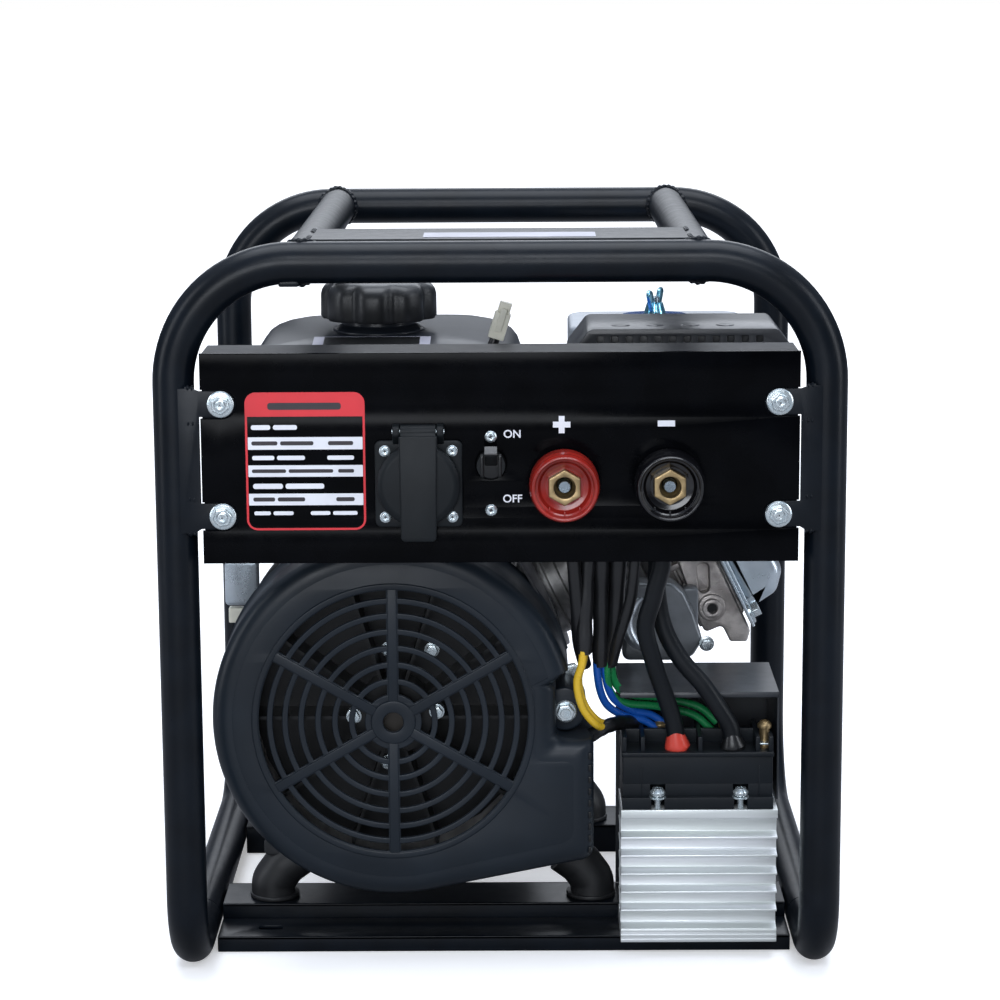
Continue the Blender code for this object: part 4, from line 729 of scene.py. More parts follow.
for pole, x in POLES:
    at = (x, TERMINAL_Z)
    cup = [(7.4, 3.4), (19.4, 3.4), (20.8, 6.0), (20.9, 17.0), (20.3, 20.8), (20.3, 23.2), (19.3, 26.2),
           (18.3, 26.6),
           (17.5, 25.6), (17.2, 21.5), (15.9, 20.9), (15.3, 19.2), (14.4, 17.0), (11.4, 16.4), (7.4, 16.4)]
    cup = softened(cup, (0.2, 1.4, 1, .5, .4, .4, .8, .6, .5, .8, .6, .6, .8, .4, .1), 5)
    body = turned([(r, PANEL_FRONT - d) for r, d in cup], at, "Y", 72, loop=True)
    nibs = [block((x + 15.6 * math.cos(a) - 0.5, PANEL_FRONT - 21.6, TERMINAL_Z + 15.6 * math.sin(a) - 1.2),
                  (x + 15.6 * math.cos(a) + 0.5, PANEL_FRONT - 19.0, TERMINAL_Z + 15.6 * math.sin(a) + 1.2),
                  0.3)
            for a in np.radians([235, 270, 305])]
    put("knob_" + pole, joined(body, *nibs), RED_PLASTIC if pole == "plus" else BLACK_KNOB, "knob_" + pole,
        ("terminal_knob_" + pole,), crease=40)
    hexed = slab([softened(hexagon(at, 10.9, 30), 0.6, 3), ring(at, 6.4, 40)], "Y", PANEL_FRONT - 21.3,
                 PANEL_FRONT - 12.0, 0.6)
    throat = turned([(6.5, PANEL_FRONT - 20.9), (6.3, PANEL_FRONT - 13.0), (4.5, PANEL_FRONT - 11.5),
                     (4.5, PANEL_FRONT - 4.0), (7.0, PANEL_FRONT - 4.0), (7.2, PANEL_FRONT - 20.9)], at, "Y",
                    40, loop=True)
    put("hex_insert_" + pole, joined(hexed, throat), BRASS, "knob_" + pole, ("terminal_insert_" + pole,))
    turns = np.linspace(0, 1, 70)
    thread = np.stack([3.85 + 0.28 * np.sin(turns * 2 * np.pi * 15), PANEL_FRONT - 16.0 + 25.0 * turns], -1)
    stud = np.vstack([[(0, PANEL_FRONT - 18.4), (3.3, PANEL_FRONT - 18.4), (3.8, PANEL_FRONT - 17.9)],
                      thread, [(0, PANEL_FRONT + 9.0)]])
    nut = slab([hexagon(at, 8.6, 10)], "Y", PANEL_FRONT + 9.2, PANEL_FRONT + 13.6, 0.5)
    tail = turned([(0, PANEL_FRONT + 8.8), (4.0, PANEL_FRONT + 8.8), (4.0, PANEL_FRONT + 25.6),
                   (0, PANEL_FRONT + 25.6)], at, "Y", 24)
    put("stud_" + pole, joined(turned(stud, at, "Y", 32), nut, tail), STEEL,
        stands_for=("terminal_stud_" + pole,))
    bush = drum(at, softened([(5.0, -4.0), (13.2, -4.0), (13.2, 0.0), (15.0, 0.0), (15.0, 2.4), (5.0, 2.4)],
                             0.5, 3), 48)
    put("bush_" + pole, bush, BLACK_KNOB)

# ---- Rectifier ------------------------------------------------------------------------------------
# Mill finish aluminium extrusion with fins to the front and back; the bridge is potted in a ribbed
# moulding on top, held by two pan-head screws, with brass terminal screws between its ribs.
SINK_X0, SINK_X1, SINK_FRONT, SINK_BACK, SINK_LOW, SINK_TOP = 74.3, 172.6, -157.0, -108.0, 10.3, 97.3
ALLOY = finish("extruded_alloy", "heat_sink", (0.68, 0.72, 0.7), 0.4, metal=0.6, grain=900, depth=0.00008,
               strength=0.3, mottle=0.05, tint=(0.82, 0.84, 0.86), patch=140, drift=0.12,
               stretch=(0.03, 1.0, 1.0))


def fin_side(y_tip, y_root):
    """Comb of fins up one side of the extrusion, from the foot to the top plate."""
    line = [(y_tip, SINK_LOW), (y_tip, 19.4)]
    for z in 32.0 + 11.9 * np.arange(5):
        line += [(y_root, line[-1][1] + 1.6), (y_root, z - 2.8), (y_tip, z - 1.5), (y_tip, z)]
    return line + [(y_root, line[-1][1] + 1.2), (y_root, SINK_TOP - 7.2), (y_tip, SINK_TOP - 5.7),
                   (y_tip, SINK_TOP)]


front_comb = fin_side(SINK_FRONT, SINK_FRONT + 9.0)
back_comb = fin_side(SINK_BACK, SINK_BACK - 14.0)[::-1]
bore = rounded(SINK_FRONT + 19.0, 22.0, SINK_BACK - 19.0, 89.0, 2.0)
comb = softened(np.array(front_comb + back_comb), 0.55, 3)
extrusion = slab([comb, bore], "X", SINK_X0, SINK_X1, 0.25, 1)
seams = [block((SINK_X0, SINK_FRONT - 0.25, z), (SINK_X1, SINK_FRONT + 0.5, z + 1.5), 0.2)
         for z in (11.2, 14.2, 17.2)]
put("finned_heat_sink", joined(extrusion, *seams), ALLOY, stands_for=("heat_sink",))

POTTED = finish("module_plastic", "black_plastic", (0.0045, 0.0068, 0.0095), 0.42, grain=1500, strength=0.2,
                mottle=0.14, drift=0.14, dust=0.03, specular=0.22)
x0, x1, low = SINK_X0 + 0.8, SINK_X1 - 3.0, SINK_TOP + 0.3
SCREWS_X = (97.3, 149.3)
edge = [(x0, SINK_FRONT)]
for x in SCREWS_X:
    edge += [(x - 4.2, SINK_FRONT), *arc((x, SINK_FRONT + 7.0), 4.2, 180, 0, 10), (x + 4.2, SINK_FRONT)]
edge += [(x1, SINK_FRONT), (x1, SINK_BACK + 3.0), (x0, SINK_BACK + 3.0)]
flange = slab([np.array(edge)], "Z", low, low + 7.6, 0.4)
edge = [(x0 + 0.2, SINK_FRONT + 3.4)]
for x in SCREWS_X:
    edge += [(x - 4.8, SINK_FRONT + 3.4), *arc((x, SINK_FRONT + 8.0), 4.8, 180, 0, 10),
             (x + 4.8, SINK_FRONT + 3.4)]
edge += [(x1 - 0.2, SINK_FRONT + 3.4), (x1 - 0.2, SINK_BACK - 2.0), (x0 + 0.2, SINK_BACK - 2.0)]
case = joined(slab([np.array(edge)], "Z", low + 6.0, 114.0, 0.5),
              block((x0 + 0.2, SINK_FRONT + 3.4, 112.8), (x1 - 0.2, SINK_BACK - 2.0, 131.5), 0.6))
lip = block((x0 - 0.4, SINK_FRONT + 1.6, 131.0), (x1 + 0.4, SINK_BACK - 0.6, 134.0), 0.7)
ribs = [block((x - 1.4, SINK_FRONT + 4.0, 133.0), (x + 1.4, SINK_BACK - 1.0, 143.4), 0.5)
        for x in (x0 + 1.4, 88.0, 124.0, 160.0, x1 - 1.4)]
spine = block((x0, SINK_FRONT + 26.0, 133.0), (x1, SINK_FRONT + 29.0, 143.0), 0.6)
ends = [block((x - 0.4, SINK_FRONT + 2.9, low + 8.6), (x + 0.4, SINK_FRONT + 4.0, 125.0), 0.2)
        for x in (87.2, 161.0)]
put("rectifier_case", joined(flange, case, lip, spine, *ribs, *ends), POTTED,
    stands_for=("rectifier_module",))


def upright(centre, profile, sides=32):
    """Round piece whose axis stands straight up; profile is (radius, height)."""
    return turned(profile, centre, "Z", sides)


def cross_cap(centre, radius, z, spin):
    """Cross recess sunk in the top of an upright screw: an open ring plate over a floor that takes a painted
    shade colour.
    """
    mark = cross((0, 0), radius * 0.62, radius * 0.16)
    c, s = math.cos(spin), math.sin(spin)
    mark = mark @ np.array([[c, s], [-s, c]]) + centre
    return slab([ring(centre, radius, 24), mark], "Z", z - 0.5, z, 0.1), slab([mark], "Z", z - 0.9, z - 0.4)


bright, dark = [], []
for x, spin in zip(SCREWS_X, (0.3, 1.0)):
    at = (x, SINK_FRONT + 2.4)
    profile = [(0, low), (2.1, low), (2.1, 104.4), (5.2, 104.4), (5.3, 105.6), (3.0, 105.8), (3.0, 106.4),
               (4.7, 106.6),
               (4.9, 108.6), (3.4, 110.6), (0, 111.0)]
    cap, slot = cross_cap(at, 3.4, 111.0, spin)
    bright += [upright(at, softened(profile, 0.25, 2, closed=False)), cap]
    dark.append(slot)
put("module_screws", joined(*bright), ZINC)
# The recess floors are painted shade.
put("module_screw_recesses", joined(*dark), ZINC_SHADE)
studs, tags = [], []
for k, (x, y) in enumerate(((80.8, -117.0), (100.5, -117.0), (142.0, -117.0), (165.0, -140.0))):
    cap, slot = cross_cap((x, y), 2.9, 144.6 if k < 3 else 150.4, 0.4 * k)
    rise = 0.0 if k < 3 else 5.8
    profile = [(0, 133.5), (5.6, 133.5), (5.6, 136.6), (3.2, 136.8), (3.2, 140.0 + rise), (4.4, 140.2 + rise),
               (4.5, 142.6 + rise), (3.0, 144.2 + rise), (0, 144.4 + rise)]
    studs += [upright((x, y), softened(profile, 0.25, 2, closed=False)), cap]
    tags.append(block((x - 5.0, y - 7.0, 136.4), (x + 5.0, y + 7.0, 137.6), 0.3, 2.0))
put("module_terminals", joined(*studs), BRASS)
put("cable_tags", joined(*tags), ZINC)

# Guard: sheet folded into a roof, a back and a right wall, open to the front and the left.
HOOD = finish("guard_coat", "powder_coat", (0.016, 0.019, 0.024), 0.34, grain=1300, strength=0.14,
              mottle=0.25,
              drift=0.12, dust=0.08)
roof_top, gx0, gx1, gf, gb = 169.5, 74.0, 174.0, -142.0, -64.5
roof = block((gx0, gf, roof_top - 1.2), (gx1, gb, roof_top), 0.35)
hem = block((gx0, gf, roof_top - 3.6), (gx1, gf + 1.0, roof_top - 0.5), 0.35)
rear = block((gx0, gb - 1.2, HIGH_Z + 0.3), (gx1, gb, roof_top - 0.3), 0.35)
wall = slab([softened([(gf, 99.0), (gb, 99.0), (gb, roof_top - 0.2), (gf, roof_top - 0.2)], 2.0)], "X",
            gx1 - 1.2, gx1, 0.35)
fold = swept([(gx0 + 0.7, gb - 0.8, roof_top - 0.8), (gx1 - 0.7, gb - 0.8, roof_top - 0.8)], 0.75, 12)
put("rectifier_hood", joined(roof, hem, rear, wall, fold), HOOD, stands_for=("rectifier_guard",))

# ---- Weld cables and phase leads --------------------------------------------------------------------
# Rubber weld cables run from the terminals' tails down to the module; the phase leads come in pairs
# out of black sleeving. Every lead starts behind the panel and ends at the module.
JACKET = finish("cable_rubber", "cable_jacket", (0.005, 0.0065, 0.0085), 0.42, grain=1300, strength=0.14,
                mottle=0.2, drift=0.14, dust=0.01, specular=0.24)
SLEEVE = finish("black_sleeving", "cable_jacket", (0.008, 0.0085, 0.0095), 0.32, grain=1800, strength=0.2,
                drift=0.2)
RED_SLEEVE = finish("red_sleeve", "red_plastic", (0.62, 0.06, 0.04), 0.3, grain=900, strength=0.12, drift=0.1)


def curve_through(points, steps=10):
    """Catmull-Rom curve through given points, a few samples to each stretch."""
    p = np.asarray(points, float)
    p = np.vstack([2 * p[0] - p[1], p, 2 * p[-1] - p[-2]])
    t = np.linspace(0, 1, steps, endpoint=False)[None, :, None]
    a, b, c, d = p[:-3, None], p[1:-2, None], p[2:-1, None], p[3:, None]
    line = 0.5 * (2 * b + (c - a) * t + (2 * a - 5 * b + 4 * c - d) * t ** 2 + (3 * b - a - 3 * c + d)
                  * t ** 3)
    return np.vstack([line.reshape(-1, 3), p[-2:-1]])


PLUS_ROUTE = [(38.0, -175.0, 306.0), (58.0, -174.0, 284.0), (96.0, -172.0, 266.0), (94.0, -169.0, 240.0),
              (88.8, -164.0, 217.0), (93.9, -158.0, 194.3), (101.2, -152.0, 171.5), (107.0, -148.0, 153.0),
              (109.8, -146.0, 136.0)]
MINUS_ROUTE = [(100.3, -159.0, 306.0), (97.0, -152.0, 270.0), (96.5, -149.0, 238.0), (101.0, -149.0, 213.0),
               (111.5, -150.0, 193.0), (125.0, -150.5, 177.0), (135.0, -149.0, 162.0), (142.5, -147.0, 149.0),
               (145.0, -146.0, 136.0)]
for pole, route, sleeve_coat in (("plus", PLUS_ROUTE, RED_SLEEVE), ("minus", MINUS_ROUTE, SLEEVE)):
    line = curve_through(route)
    put("weld_lead_" + pole, swept(line, 5.6, 28), JACKET, stands_for=("weld_cable_" + pole,))
    last = line[-6:]
    down = (last[-1] - last[-3]) / np.linalg.norm(last[-1] - last[-3])
    shape = swept(np.vstack([last, [last[-1] + down * 2.0]]), np.r_[5.8, 6.4, 6.8, 7.3, 7.8, 8.1, 7.2], 32)
    rise = np.repeat(np.linspace(1, 0, 7), 32) * 2.0
    spread = np.tile(np.cos(np.linspace(0, 4 * np.pi, 32, endpoint=False)), 7)
    shape = (shape[0] - down * (rise * spread)[:, None], shape[1])
    put("end_sleeve_" + pole, shape, sleeve_coat)

LEADS = (("yellow", (0.78, 0.5, 0.03), 196.0, (0.5, 2.3, 0.6),
          [(53.3, -160.0, 262.0), (51.8, -158.0, 228.0), (50.6, -156.0, 196.0), (47.2, -153.5, 180.0),
           (50.4, -152.5, 164.5),
           (57.8, -148.0, 153.0), (65.0, -139.0, 147.5), (75.0, -129.0, 147.0), (84.0, -117.0, 143.6)]),
         ("blue", (0.008, 0.085, 0.4), 184.0, (2.3, 1.0, 1.6),
          [(61.9, -160.0, 262.0), (61.7, -148.0, 220.0), (62.0, -137.0, 184.0), (67.0, -128.0, 162.0),
           (79.0, -121.0, 151.0),
           (92.0, -118.0, 147.0), (101.0, -118.0, 141.0)]),
         ("green", (0.01, 0.2, 0.06), 184.0, (1.6, 1.2, 2.4),
          [(72.5, -160.0, 262.0), (71.0, -146.0, 215.0), (67.5, -134.0, 184.0), (70.5, -126.0, 168.0),
           (80.0, -121.0, 160.0),
           (100.0, -118.0, 157.0), (123.0, -117.0, 151.0), (135.0, -118.0, 141.0)]))
for colour, hue, bare_below, apart, route in LEADS:
    line = curve_through(route)
    pair = [line[line[:, 2] < bare_below + 8] + np.multiply(apart, way) for way in (-1, 1)]
    pvc = finish("pvc_" + colour, colour + "_lead", hue, 0.28, grain=900, strength=0.08, mottle=0.12,
                 drift=0.08)
    put("lead_pair_" + colour, joined(*[swept(half, 2.5, 16) for half in pair]), pvc,
        stands_for=("phase_lead_" + colour,))
    upper = line[line[:, 2] > bare_below]
    shrink = 4.9 + 0.25 * np.sin(np.arange(len(upper)) * 0.9)
    put("sleeving_" + colour, swept(upper, shrink, 20), SLEEVE)
stray = [[(44.0, -168.0, 262.0), (46.5, -160.0, 232.0), (48.0, -148.0, 205.0), (52.0, -136.0, 186.0)],
         [(66.0, -152.0, 262.0), (66.5, -142.0, 230.0), (60.0, -140.0, 205.0), (54.5, -140.0, 196.0)],
         [(83.0, -166.0, 268.0), (80.0, -160.0, 235.0), (73.0, -150.0, 208.0), (69.0, -138.0, 188.0)]]
harness = [swept(curve_through(r), radius, 16) for r, radius in zip(stray, (4.2, 2.4, 3.6))]
taped = [(44.0, -134.0, 136.0), (54.0, -138.0, 140.0), (64.0, -141.0, 146.6), (74.0, -131.0, 147.0),
         (84.0, -118.0, 143.6)]
taped_line = curve_through(taped)
harness.append(swept(taped_line, 4.6 + 0.16 * np.sin(np.arange(len(taped_line)) * 1.1), 18))
put("taped_harness", joined(*harness), SLEEVE)

# ---- Alternator -----------------------------------------------------------------------------------
# Black moulded cover with a sunray grille; the fan turns right behind it with five bright screws. The
# housing drum and a bent air guide show round its edges.
CRANK = np.array([-67.5, 158.0])
COVER_R, COVER_FRONT, COVER_BACK = 113.0, -168.0, -104.0
COVER_COAT = finish("cover_plastic", "black_plastic", (0.0072, 0.0114, 0.0168), 0.38, grain=1700,
                    depth=0.0001,
                    strength=0.25, mottle=0.12, patch=24, drift=0.14, dust=0.03, specular=0.28)


def cover_line(inset):
    """Round outline with a notch for the side lug and an outlet box at the lower right, drawn in by inset."""
    r, (cx, cz) = COVER_R - inset, CRANK
    right, sill, shelf, notch = cx + 124.5 - inset, cz - 92.0 + inset, cz - 13.0 - inset, cx + 101.0 - inset
    return np.vstack([arc(CRANK, r, 16, 282, 150), arc((right - 9, sill + 9), 9, -75, 0, 10),
                      arc((right - 4, shelf - 4), 4, 0, 90, 6), arc((notch + 6, shelf + 6), 6, 270, 180, 6),
                      arc((notch - 5, cz + 18), 5, 0, 60, 5)])


stations = [(COVER_FRONT, 13.0)] + [(COVER_FRONT + 9.0 * (1 - math.sin(a)), 11.0 * (1 - math.cos(a)))
                                    for a in np.radians(np.linspace(90, 0, 9))]
stations = [(y, i) for y, i in stations] + [(-140.0, -0.1), (COVER_BACK - 2.5, 0.0), (COVER_BACK - 1.2, -0.9),
                                            (COVER_BACK, -0.9), (COVER_BACK, 3.0), (COVER_FRONT + 11.0, 3.2),
                                            (COVER_FRONT + 3.2, 10.5), (COVER_FRONT + 3.0, 13.0)]
rings = np.stack([np.insert(cover_line(i), 1, y, axis=1) for y, i in stations])
shell = skin(rings, loop_rows=True)


def curved_slot(inner, outer, k):
    """Slot between two radii in one of six sectors, clear of the straight ribs on both sides."""
    a_in, a_out = [math.degrees(math.asin(3.7 / r)) for r in (inner, outer)]
    start, end = 60 * k - 30, 60 * k + 30
    steps = max(6, int(outer / 3))
    return softened(np.vstack([arc(CRANK, outer, start + a_out, end - a_out, steps),
                               arc(CRANK, inner, end - a_in, start + a_in, steps)]), 0.05, 1)


edges = (14.0, 24.0, 34.5, 45.0, 55.5, 65.5, 75.0, 83.5)
slots = [curved_slot(inner + 3.6, outer, k) for inner, outer in zip(edges, edges[1:]) for k in range(6)]
face = slab([cover_line(12.6), ring(CRANK, 6.4)] + slots, "Y", COVER_FRONT, COVER_FRONT + 3.0, 0.6)
ridge = turned(softened([(84.0, COVER_FRONT + 1.0), (84.0, COVER_FRONT - 0.7), (87.5, COVER_FRONT - 0.7),
                         (89.0, COVER_FRONT + 1.0)], (0.2, 0.7, 0.7, 0.2), 3), CRANK, "Y", 120, loop=True)
hub = turned(softened([(6.4, COVER_FRONT + 2), (6.4, COVER_FRONT - 1.4), (13.6, COVER_FRONT - 1.4),
                       (14.6, COVER_FRONT + 2)], (0.1, 0.6, 0.9, 0.1), 3), CRANK, "Y", 48, loop=True)
spokes = [tilted(block((CRANK[0] + 13, COVER_FRONT - 0.9, CRANK[1] - 3.0),
                       (CRANK[0] + 84.5, COVER_FRONT + 2.0,
                       CRANK[1] + 3.0), 0.7, 0.7, "X"), math.radians(30 + 60 * k), (CRANK[0], 0, CRANK[1]))
          for k in range(6)]
pad = slab([ring((39.0, 160.5), 14.0, 48)], "Y", -148.0, -112.0, 1.5)
put("fan_cover", joined(shell, face, ridge, hub, pad, *spokes), COVER_COAT, stands_for=("alternator_cover",),
    crease=38)
vents = [block((57.0 - 3.4, COVER_FRONT + 2.2, z), (57.0 - 1.6, COVER_FRONT + 4.4, z + 4.0), 0.2) for z in
         np.arange(72.0, 136.0, 7.6)]
put("outlet_vents", joined(*vents), DARK_PLASTIC)
bolt = [turned(softened([(0, -148.0), (7.2, -148.0), (7.2, -149.4), (6.2, -150.2), (0, -150.2)],
                        (0, .3, .3, .3, 0), 3),
               (39.6, 159.4), "Y", 40), slab([softened(hexagon((39.6, 159.4), 5.8, 9), 0.5, 3)], "Y", -154.4,
                                             -149.8, 0.7),
        turned([(3.4, -154.2), (3.0, -155.0), (0, -155.0)], (39.6, 159.4), "Y", 24)]
put("cover_bolt", joined(*bolt), ZINC, crease=24)

FAN_COAT = finish("fan_plastic", "black_plastic", (0.004, 0.0045, 0.005), 0.35, grain=1500, strength=0.15,
                  specular=0.3)
CORE = finish("varnished_core", "core_steel", (0.03, 0.026, 0.022), 0.45, metal=0.6, grain=1600, mottle=0.3,
              stretch=(1.0, 12.0, 1.0))
CAST = finish("die_cast", "cast_aluminium", (0.3, 0.295, 0.29), 0.42, metal=0.85, grain=1100, depth=0.0003,
              strength=0.4, mottle=0.22, tint=(0.36, 0.355, 0.35), patch=60, drift=0.2, dust=0.05)
paint(FAN_COAT, "alternator_fan")
paint(CORE, "rotor", "stator")
paint(CAST, "alternator_bracket", "piston")
paint(STEEL, "crankshaft")
fan_screws = []
for radius, degrees in ((25.0, 178.0), (27.0, 8.0), (38.0, 96.0), (36.0, 262.0), (44.0, 58.0)):
    at = CRANK + radius * np.array([math.cos(math.radians(degrees)), math.sin(math.radians(degrees))])
    front = -158.6 if radius < 30 else -134.5
    fan_screws += [turned(softened([(0, front + 9), (4.9, front + 9), (4.9, front + 1.5), (0, front + 1.5)],
                                   (0, .3, .3, 0), 3), at, "Y", 32),
                   slab([softened(hexagon(at, 4.0, degrees), 0.4, 3)], "Y", front - 2.0, front + 1.8, 0.5)]
put("fan_screws", joined(*fan_screws), ZINC, "crank_train", crease=24)

drum_line = [(109.0, -103.6), (109.8, -102.4), (109.8, -96.0), (107.0, -95.0), (107.0, -34.0), (109.8, -33.0),
             (109.8, -23.0), (108.0, -22.0), (12.6, -22.0), (12.6, -28.0), (104.5, -28.0), (104.5, -103.6)]
drum_body = turned(softened(drum_line, 0.8, 3), CRANK, "Y", 96, loop=True)
ribs = [tilted(block((CRANK[0] + 106.0, -94.0, CRANK[1] - 1.5), (CRANK[0] + 109.6, -35.0, CRANK[1] + 1.5),
                     0.5),
               math.radians(a), (CRANK[0], 0, CRANK[1])) for a in range(0, 360, 15) if not 225 < a < 315]
stand = slab([softened([(CRANK[0] - 88, 50.0), (CRANK[0] + 122, 50.0), (CRANK[0] + 122, 59.0),
                        (CRANK[0] + 70, 74.0),
                        (CRANK[0] - 62, 74.0), (CRANK[0] - 88, 60.0)], 3.0)], "Y", -98.0, -66.0, 0.8)
HOUSING = finish("housing_coat", "powder_coat", (0.016, 0.0175, 0.02), 0.42, grain=1000, depth=0.0002,
                 strength=0.3,
                 mottle=0.2, drift=0.16, dust=0.08)
put("alternator_drum", joined(drum_body, stand, *ribs), HOUSING, stands_for=("alternator_housing",))
GUIDE = finish("air_guide", "powder_coat", (0.05, 0.05, 0.056), 0.34, grain=1200, strength=0.15, mottle=0.2,
               drift=0.2, metal=0.3)
line = curve_through([(2.0, -80.0, 262.0), (13.0, -80.0, 244.0), (24.0, -80.0, 224.0), (33.0, -80.0, 203.0),
                      (38.5, -80.0, 182.0), (41.0, -80.0, 160.0)], 8)[:, [0, 2]]
guide = slab([np.vstack([line, line[::-1] - (1.3, 0.4)])], "Y", -108.0, -48.0, 0.3, 1)
put("air_guide", guide, GUIDE)
clip = slab([softened(hexagon((44.5, 176.0), 5.0, 12), 0.5, 3)], "Y", -113.0, -108.0, 0.6)
put("guide_bolt", clip, ZINC, crease=24)

# ---- Engine ---------------------------------------------------------------------------------------
# Air cooled single leaning 26 degrees to the right: cast crankcase, finned barrel, cast head, pressed
# valve cover. A grey pressed duct hangs in front of the barrel.
LEAN = math.radians(26.0)
CYL_Y = 26.0
AXLE = (CRANK[0], 0.0, CRANK[1])


def leant(s, t):
    """Point in X and Z at s along the cylinder's lean and t across it, from the crank axis."""
    return CRANK + (s * math.cos(LEAN) - t * math.sin(LEAN), s * math.sin(LEAN) + t * math.cos(LEAN))


def along(shape):
    """Shape drawn with the cylinder lying along +X, leant over to its place."""
    return tilted(shape, LEAN, AXLE)


def bolt_y(x, z, head, length, radius=5.0, spin=0.0):
    """Flange bolt whose head faces the front: hexagon, flange and a short shank."""
    flange = turned(softened([(0, head + 1.4 + length), (radius * 0.6, head + 1.4 + length),
                              (radius * 0.6, head + 4.6),
                              (radius * 1.25, head + 4.6), (radius * 1.25, head + 3.4), (0, head + 3.4)],
                             0.25, 2,
                             closed=False), (x, z), "Y", 28)
    return joined(flange, slab([softened(hexagon((x, z), radius, spin), 0.4, 3)], "Y", head, head + 3.8, 0.5))


case_line = softened([(-143.5, 98), (-127.5, 70), (24.5, 70), (32.5, 98), leant(76, -60), leant(76, 62),
                      (-87.5, 242),
                      (-127.5, 228), (-143.5, 198)], 9.0, 6)
case = slab([case_line], "Y", 4.0, 68.0, 4.0, 3)
flange = slab([case_line], "Y", 0.3, 6.0, 1.0)
webs = [block((x - 1.6, 8.0, 66.0), (x + 1.6, 66.0, 88.0), 0.8) for x in np.arange(-118.0, 24.0, 18.0)]
feet = [block((-118.0, y0, 50.0), (22.0, y0 + 14.0, 58.0), 1.2, 3.0) for y0 in (4.0, 54.0)]
feet += [block((x, 4.0, 50.5), (x + 12.0, 68.0, 72.0), 1.5, 3.0) for x in (-118.0, 8.0)]
plug = along(turned(softened([(0, 60.0), (9, 60.0), (9, 72.0), (0, 72.0)], 0.6, 2, closed=False),
                    (40.0, 98.0), "X", 24))
put("crankcase_casting", joined(case, flange, *webs, *feet), CAST, stands_for=("crankcase",), crease=36)
paint(CAST, "crankcase_cover")
around = [(-136.0, 110.0), (-120.0, 78.0), (-50.0, 76.5), (16.0, 78.0), (-136.0, 190.0), (-116.0, 225.0)]
put("case_bolts", joined(*[bolt_y(x, z, -4.4, 8.0, 4.6, 13 * k) for k, (x, z) in enumerate(around)]), ZINC,
    crease=24)
neck = tilted(turned(softened([(0, 0.0), (12, 0.0), (12, 27.0), (14.6, 28.5), (14.6, 33.5), (0, 33.5)], 0.8,
                              2, closed=False),
                     (0, 0), "Z", 40), math.radians(40), (0, 0, 0), "Y", (-133.5, 40.0, 96.0))
put("filler_neck", neck, CAST)
angle = np.linspace(0, 2 * np.pi, 96, endpoint=False)
cap_rings = [np.stack([r * (1 + 0.035 * np.cos(16 * angle)) * np.cos(angle),
                       r * (1 + 0.035 * np.cos(16 * angle)) *
                       np.sin(angle), np.full(96, z)], -1) for r,
             z in ((11.0, 34.2), (13.0, 34.5), (13.0, 46.5),
                                                                      (12.2, 48.4), (9.0, 49.0))]
grip = block((-9.5, -2.6, 48.0), (9.5, 2.6, 52.0), 1.0, 2.0)
put("oil_cap", tilted(joined(skin(np.stack(cap_rings)), grip), math.radians(40), (0, 0, 0), "Y",
                      (-133.5, 40.0, 96.0)),
    DARK_PLASTIC, "oil_filler_cap", ("oil_filler_cap",))

x0 = CRANK[0]
fins = [(0.0, x0 + 77.3), (38.0, x0 + 77.3)]
for s in np.arange(84.0, 172.0, 8.6):
    fins += [(38.0, x0 + s), (46.0, x0 + s + 0.6), (46.0, x0 + s + 2.2), (38.0, x0 + s + 2.8)]
fins += [(38.0, x0 + 177.6), (0.0, x0 + 177.6)]
put("finned_barrel", along(turned(fins, (CYL_Y, CRANK[1]), "X", 72)), CAST, stands_for=("cylinder",))
HEAD_CAST = finish("head_casting", "cast_aluminium", (0.3, 0.275, 0.26), 0.36, metal=0.7, grain=1000,
                   depth=0.0004,
                   strength=0.45, mottle=0.25, tint=(0.42, 0.39, 0.37), patch=70, drift=0.22)
s0, s1, t0, t1 = x0 + 178.3, x0 + 221.0, CRANK[1] - 70.0, CRANK[1] + 44.0
core = block((s0, -8.0, t0 + 6), (s1, 62.0, t1 - 4), 2.0, 5.0, "Y")
plates = [block((s, -17.0, t0), (s + 4.6, 66.0, t1), 1.0, 1.8, "Y") for s in (s0, s1 - 4.6)]
cooling = [block((s, -13.0, t0 + 3), (s + 2.6, 64.0, t1 - 2), 0.7, 1.0, "Y")
           for s in s0 + 4.6 + 6.6 * np.arange(1, 5)]
uprights = [block((s0, -16.0, t), (s1 - 1.0, 0.0, t + 4.4), 1.0, 1.6, "Y")
            for t in t0 + np.array([8.0, 46.0, 66.0, 88.0])]
boss_at = (139.5, 196.2)
wall_line = softened([(114.9, 230.9), (126.4, 200.1), (129.8, 189.1), (135.3, 178.8), (146.6, 183.6),
                      (152.0, 172.6), (163.4, 172.5), (165.3, 180.0), (140.8, 232.8)],
                     (1, 4, 4, 3, 3, 2, 2, 2, 1), 4)
pocket = softened([(128.9, 226.0), (136.9, 226.0), (137.7, 207.6), (131.1, 204.9)], 3.0, 4)
wall = slab([wall_line, pocket], "Y", -20.0, -12.0, 1.4, 3)
floor_of_pocket = slab([wall_line], "Y", -13.5, 0.0, 0.8)
boss = slab([ring(boss_at, 6.6, 40), ring(boss_at, 3.4, 28)], "Y", -25.0, -10.0, 0.9)
collar = slab([ring(boss_at, 9.4, 44), ring(boss_at, 3.6, 28)], "Y", -22.0, -12.0, 1.2)
put("head_block", joined(wall, floor_of_pocket, boss, collar,
                         *[along(part) for part in (core, *plates, *cooling, *uprights)]),
    HEAD_CAST, stands_for=("cylinder_head",), crease=38)
# A dark disc down the boss's bore: painted shade, so that the hole reads dark.
put("head_bore_painted_shade", slab([ring(boss_at, 3.5, 28)], "Y", -21.5, -19.0), DARK_PLASTIC)
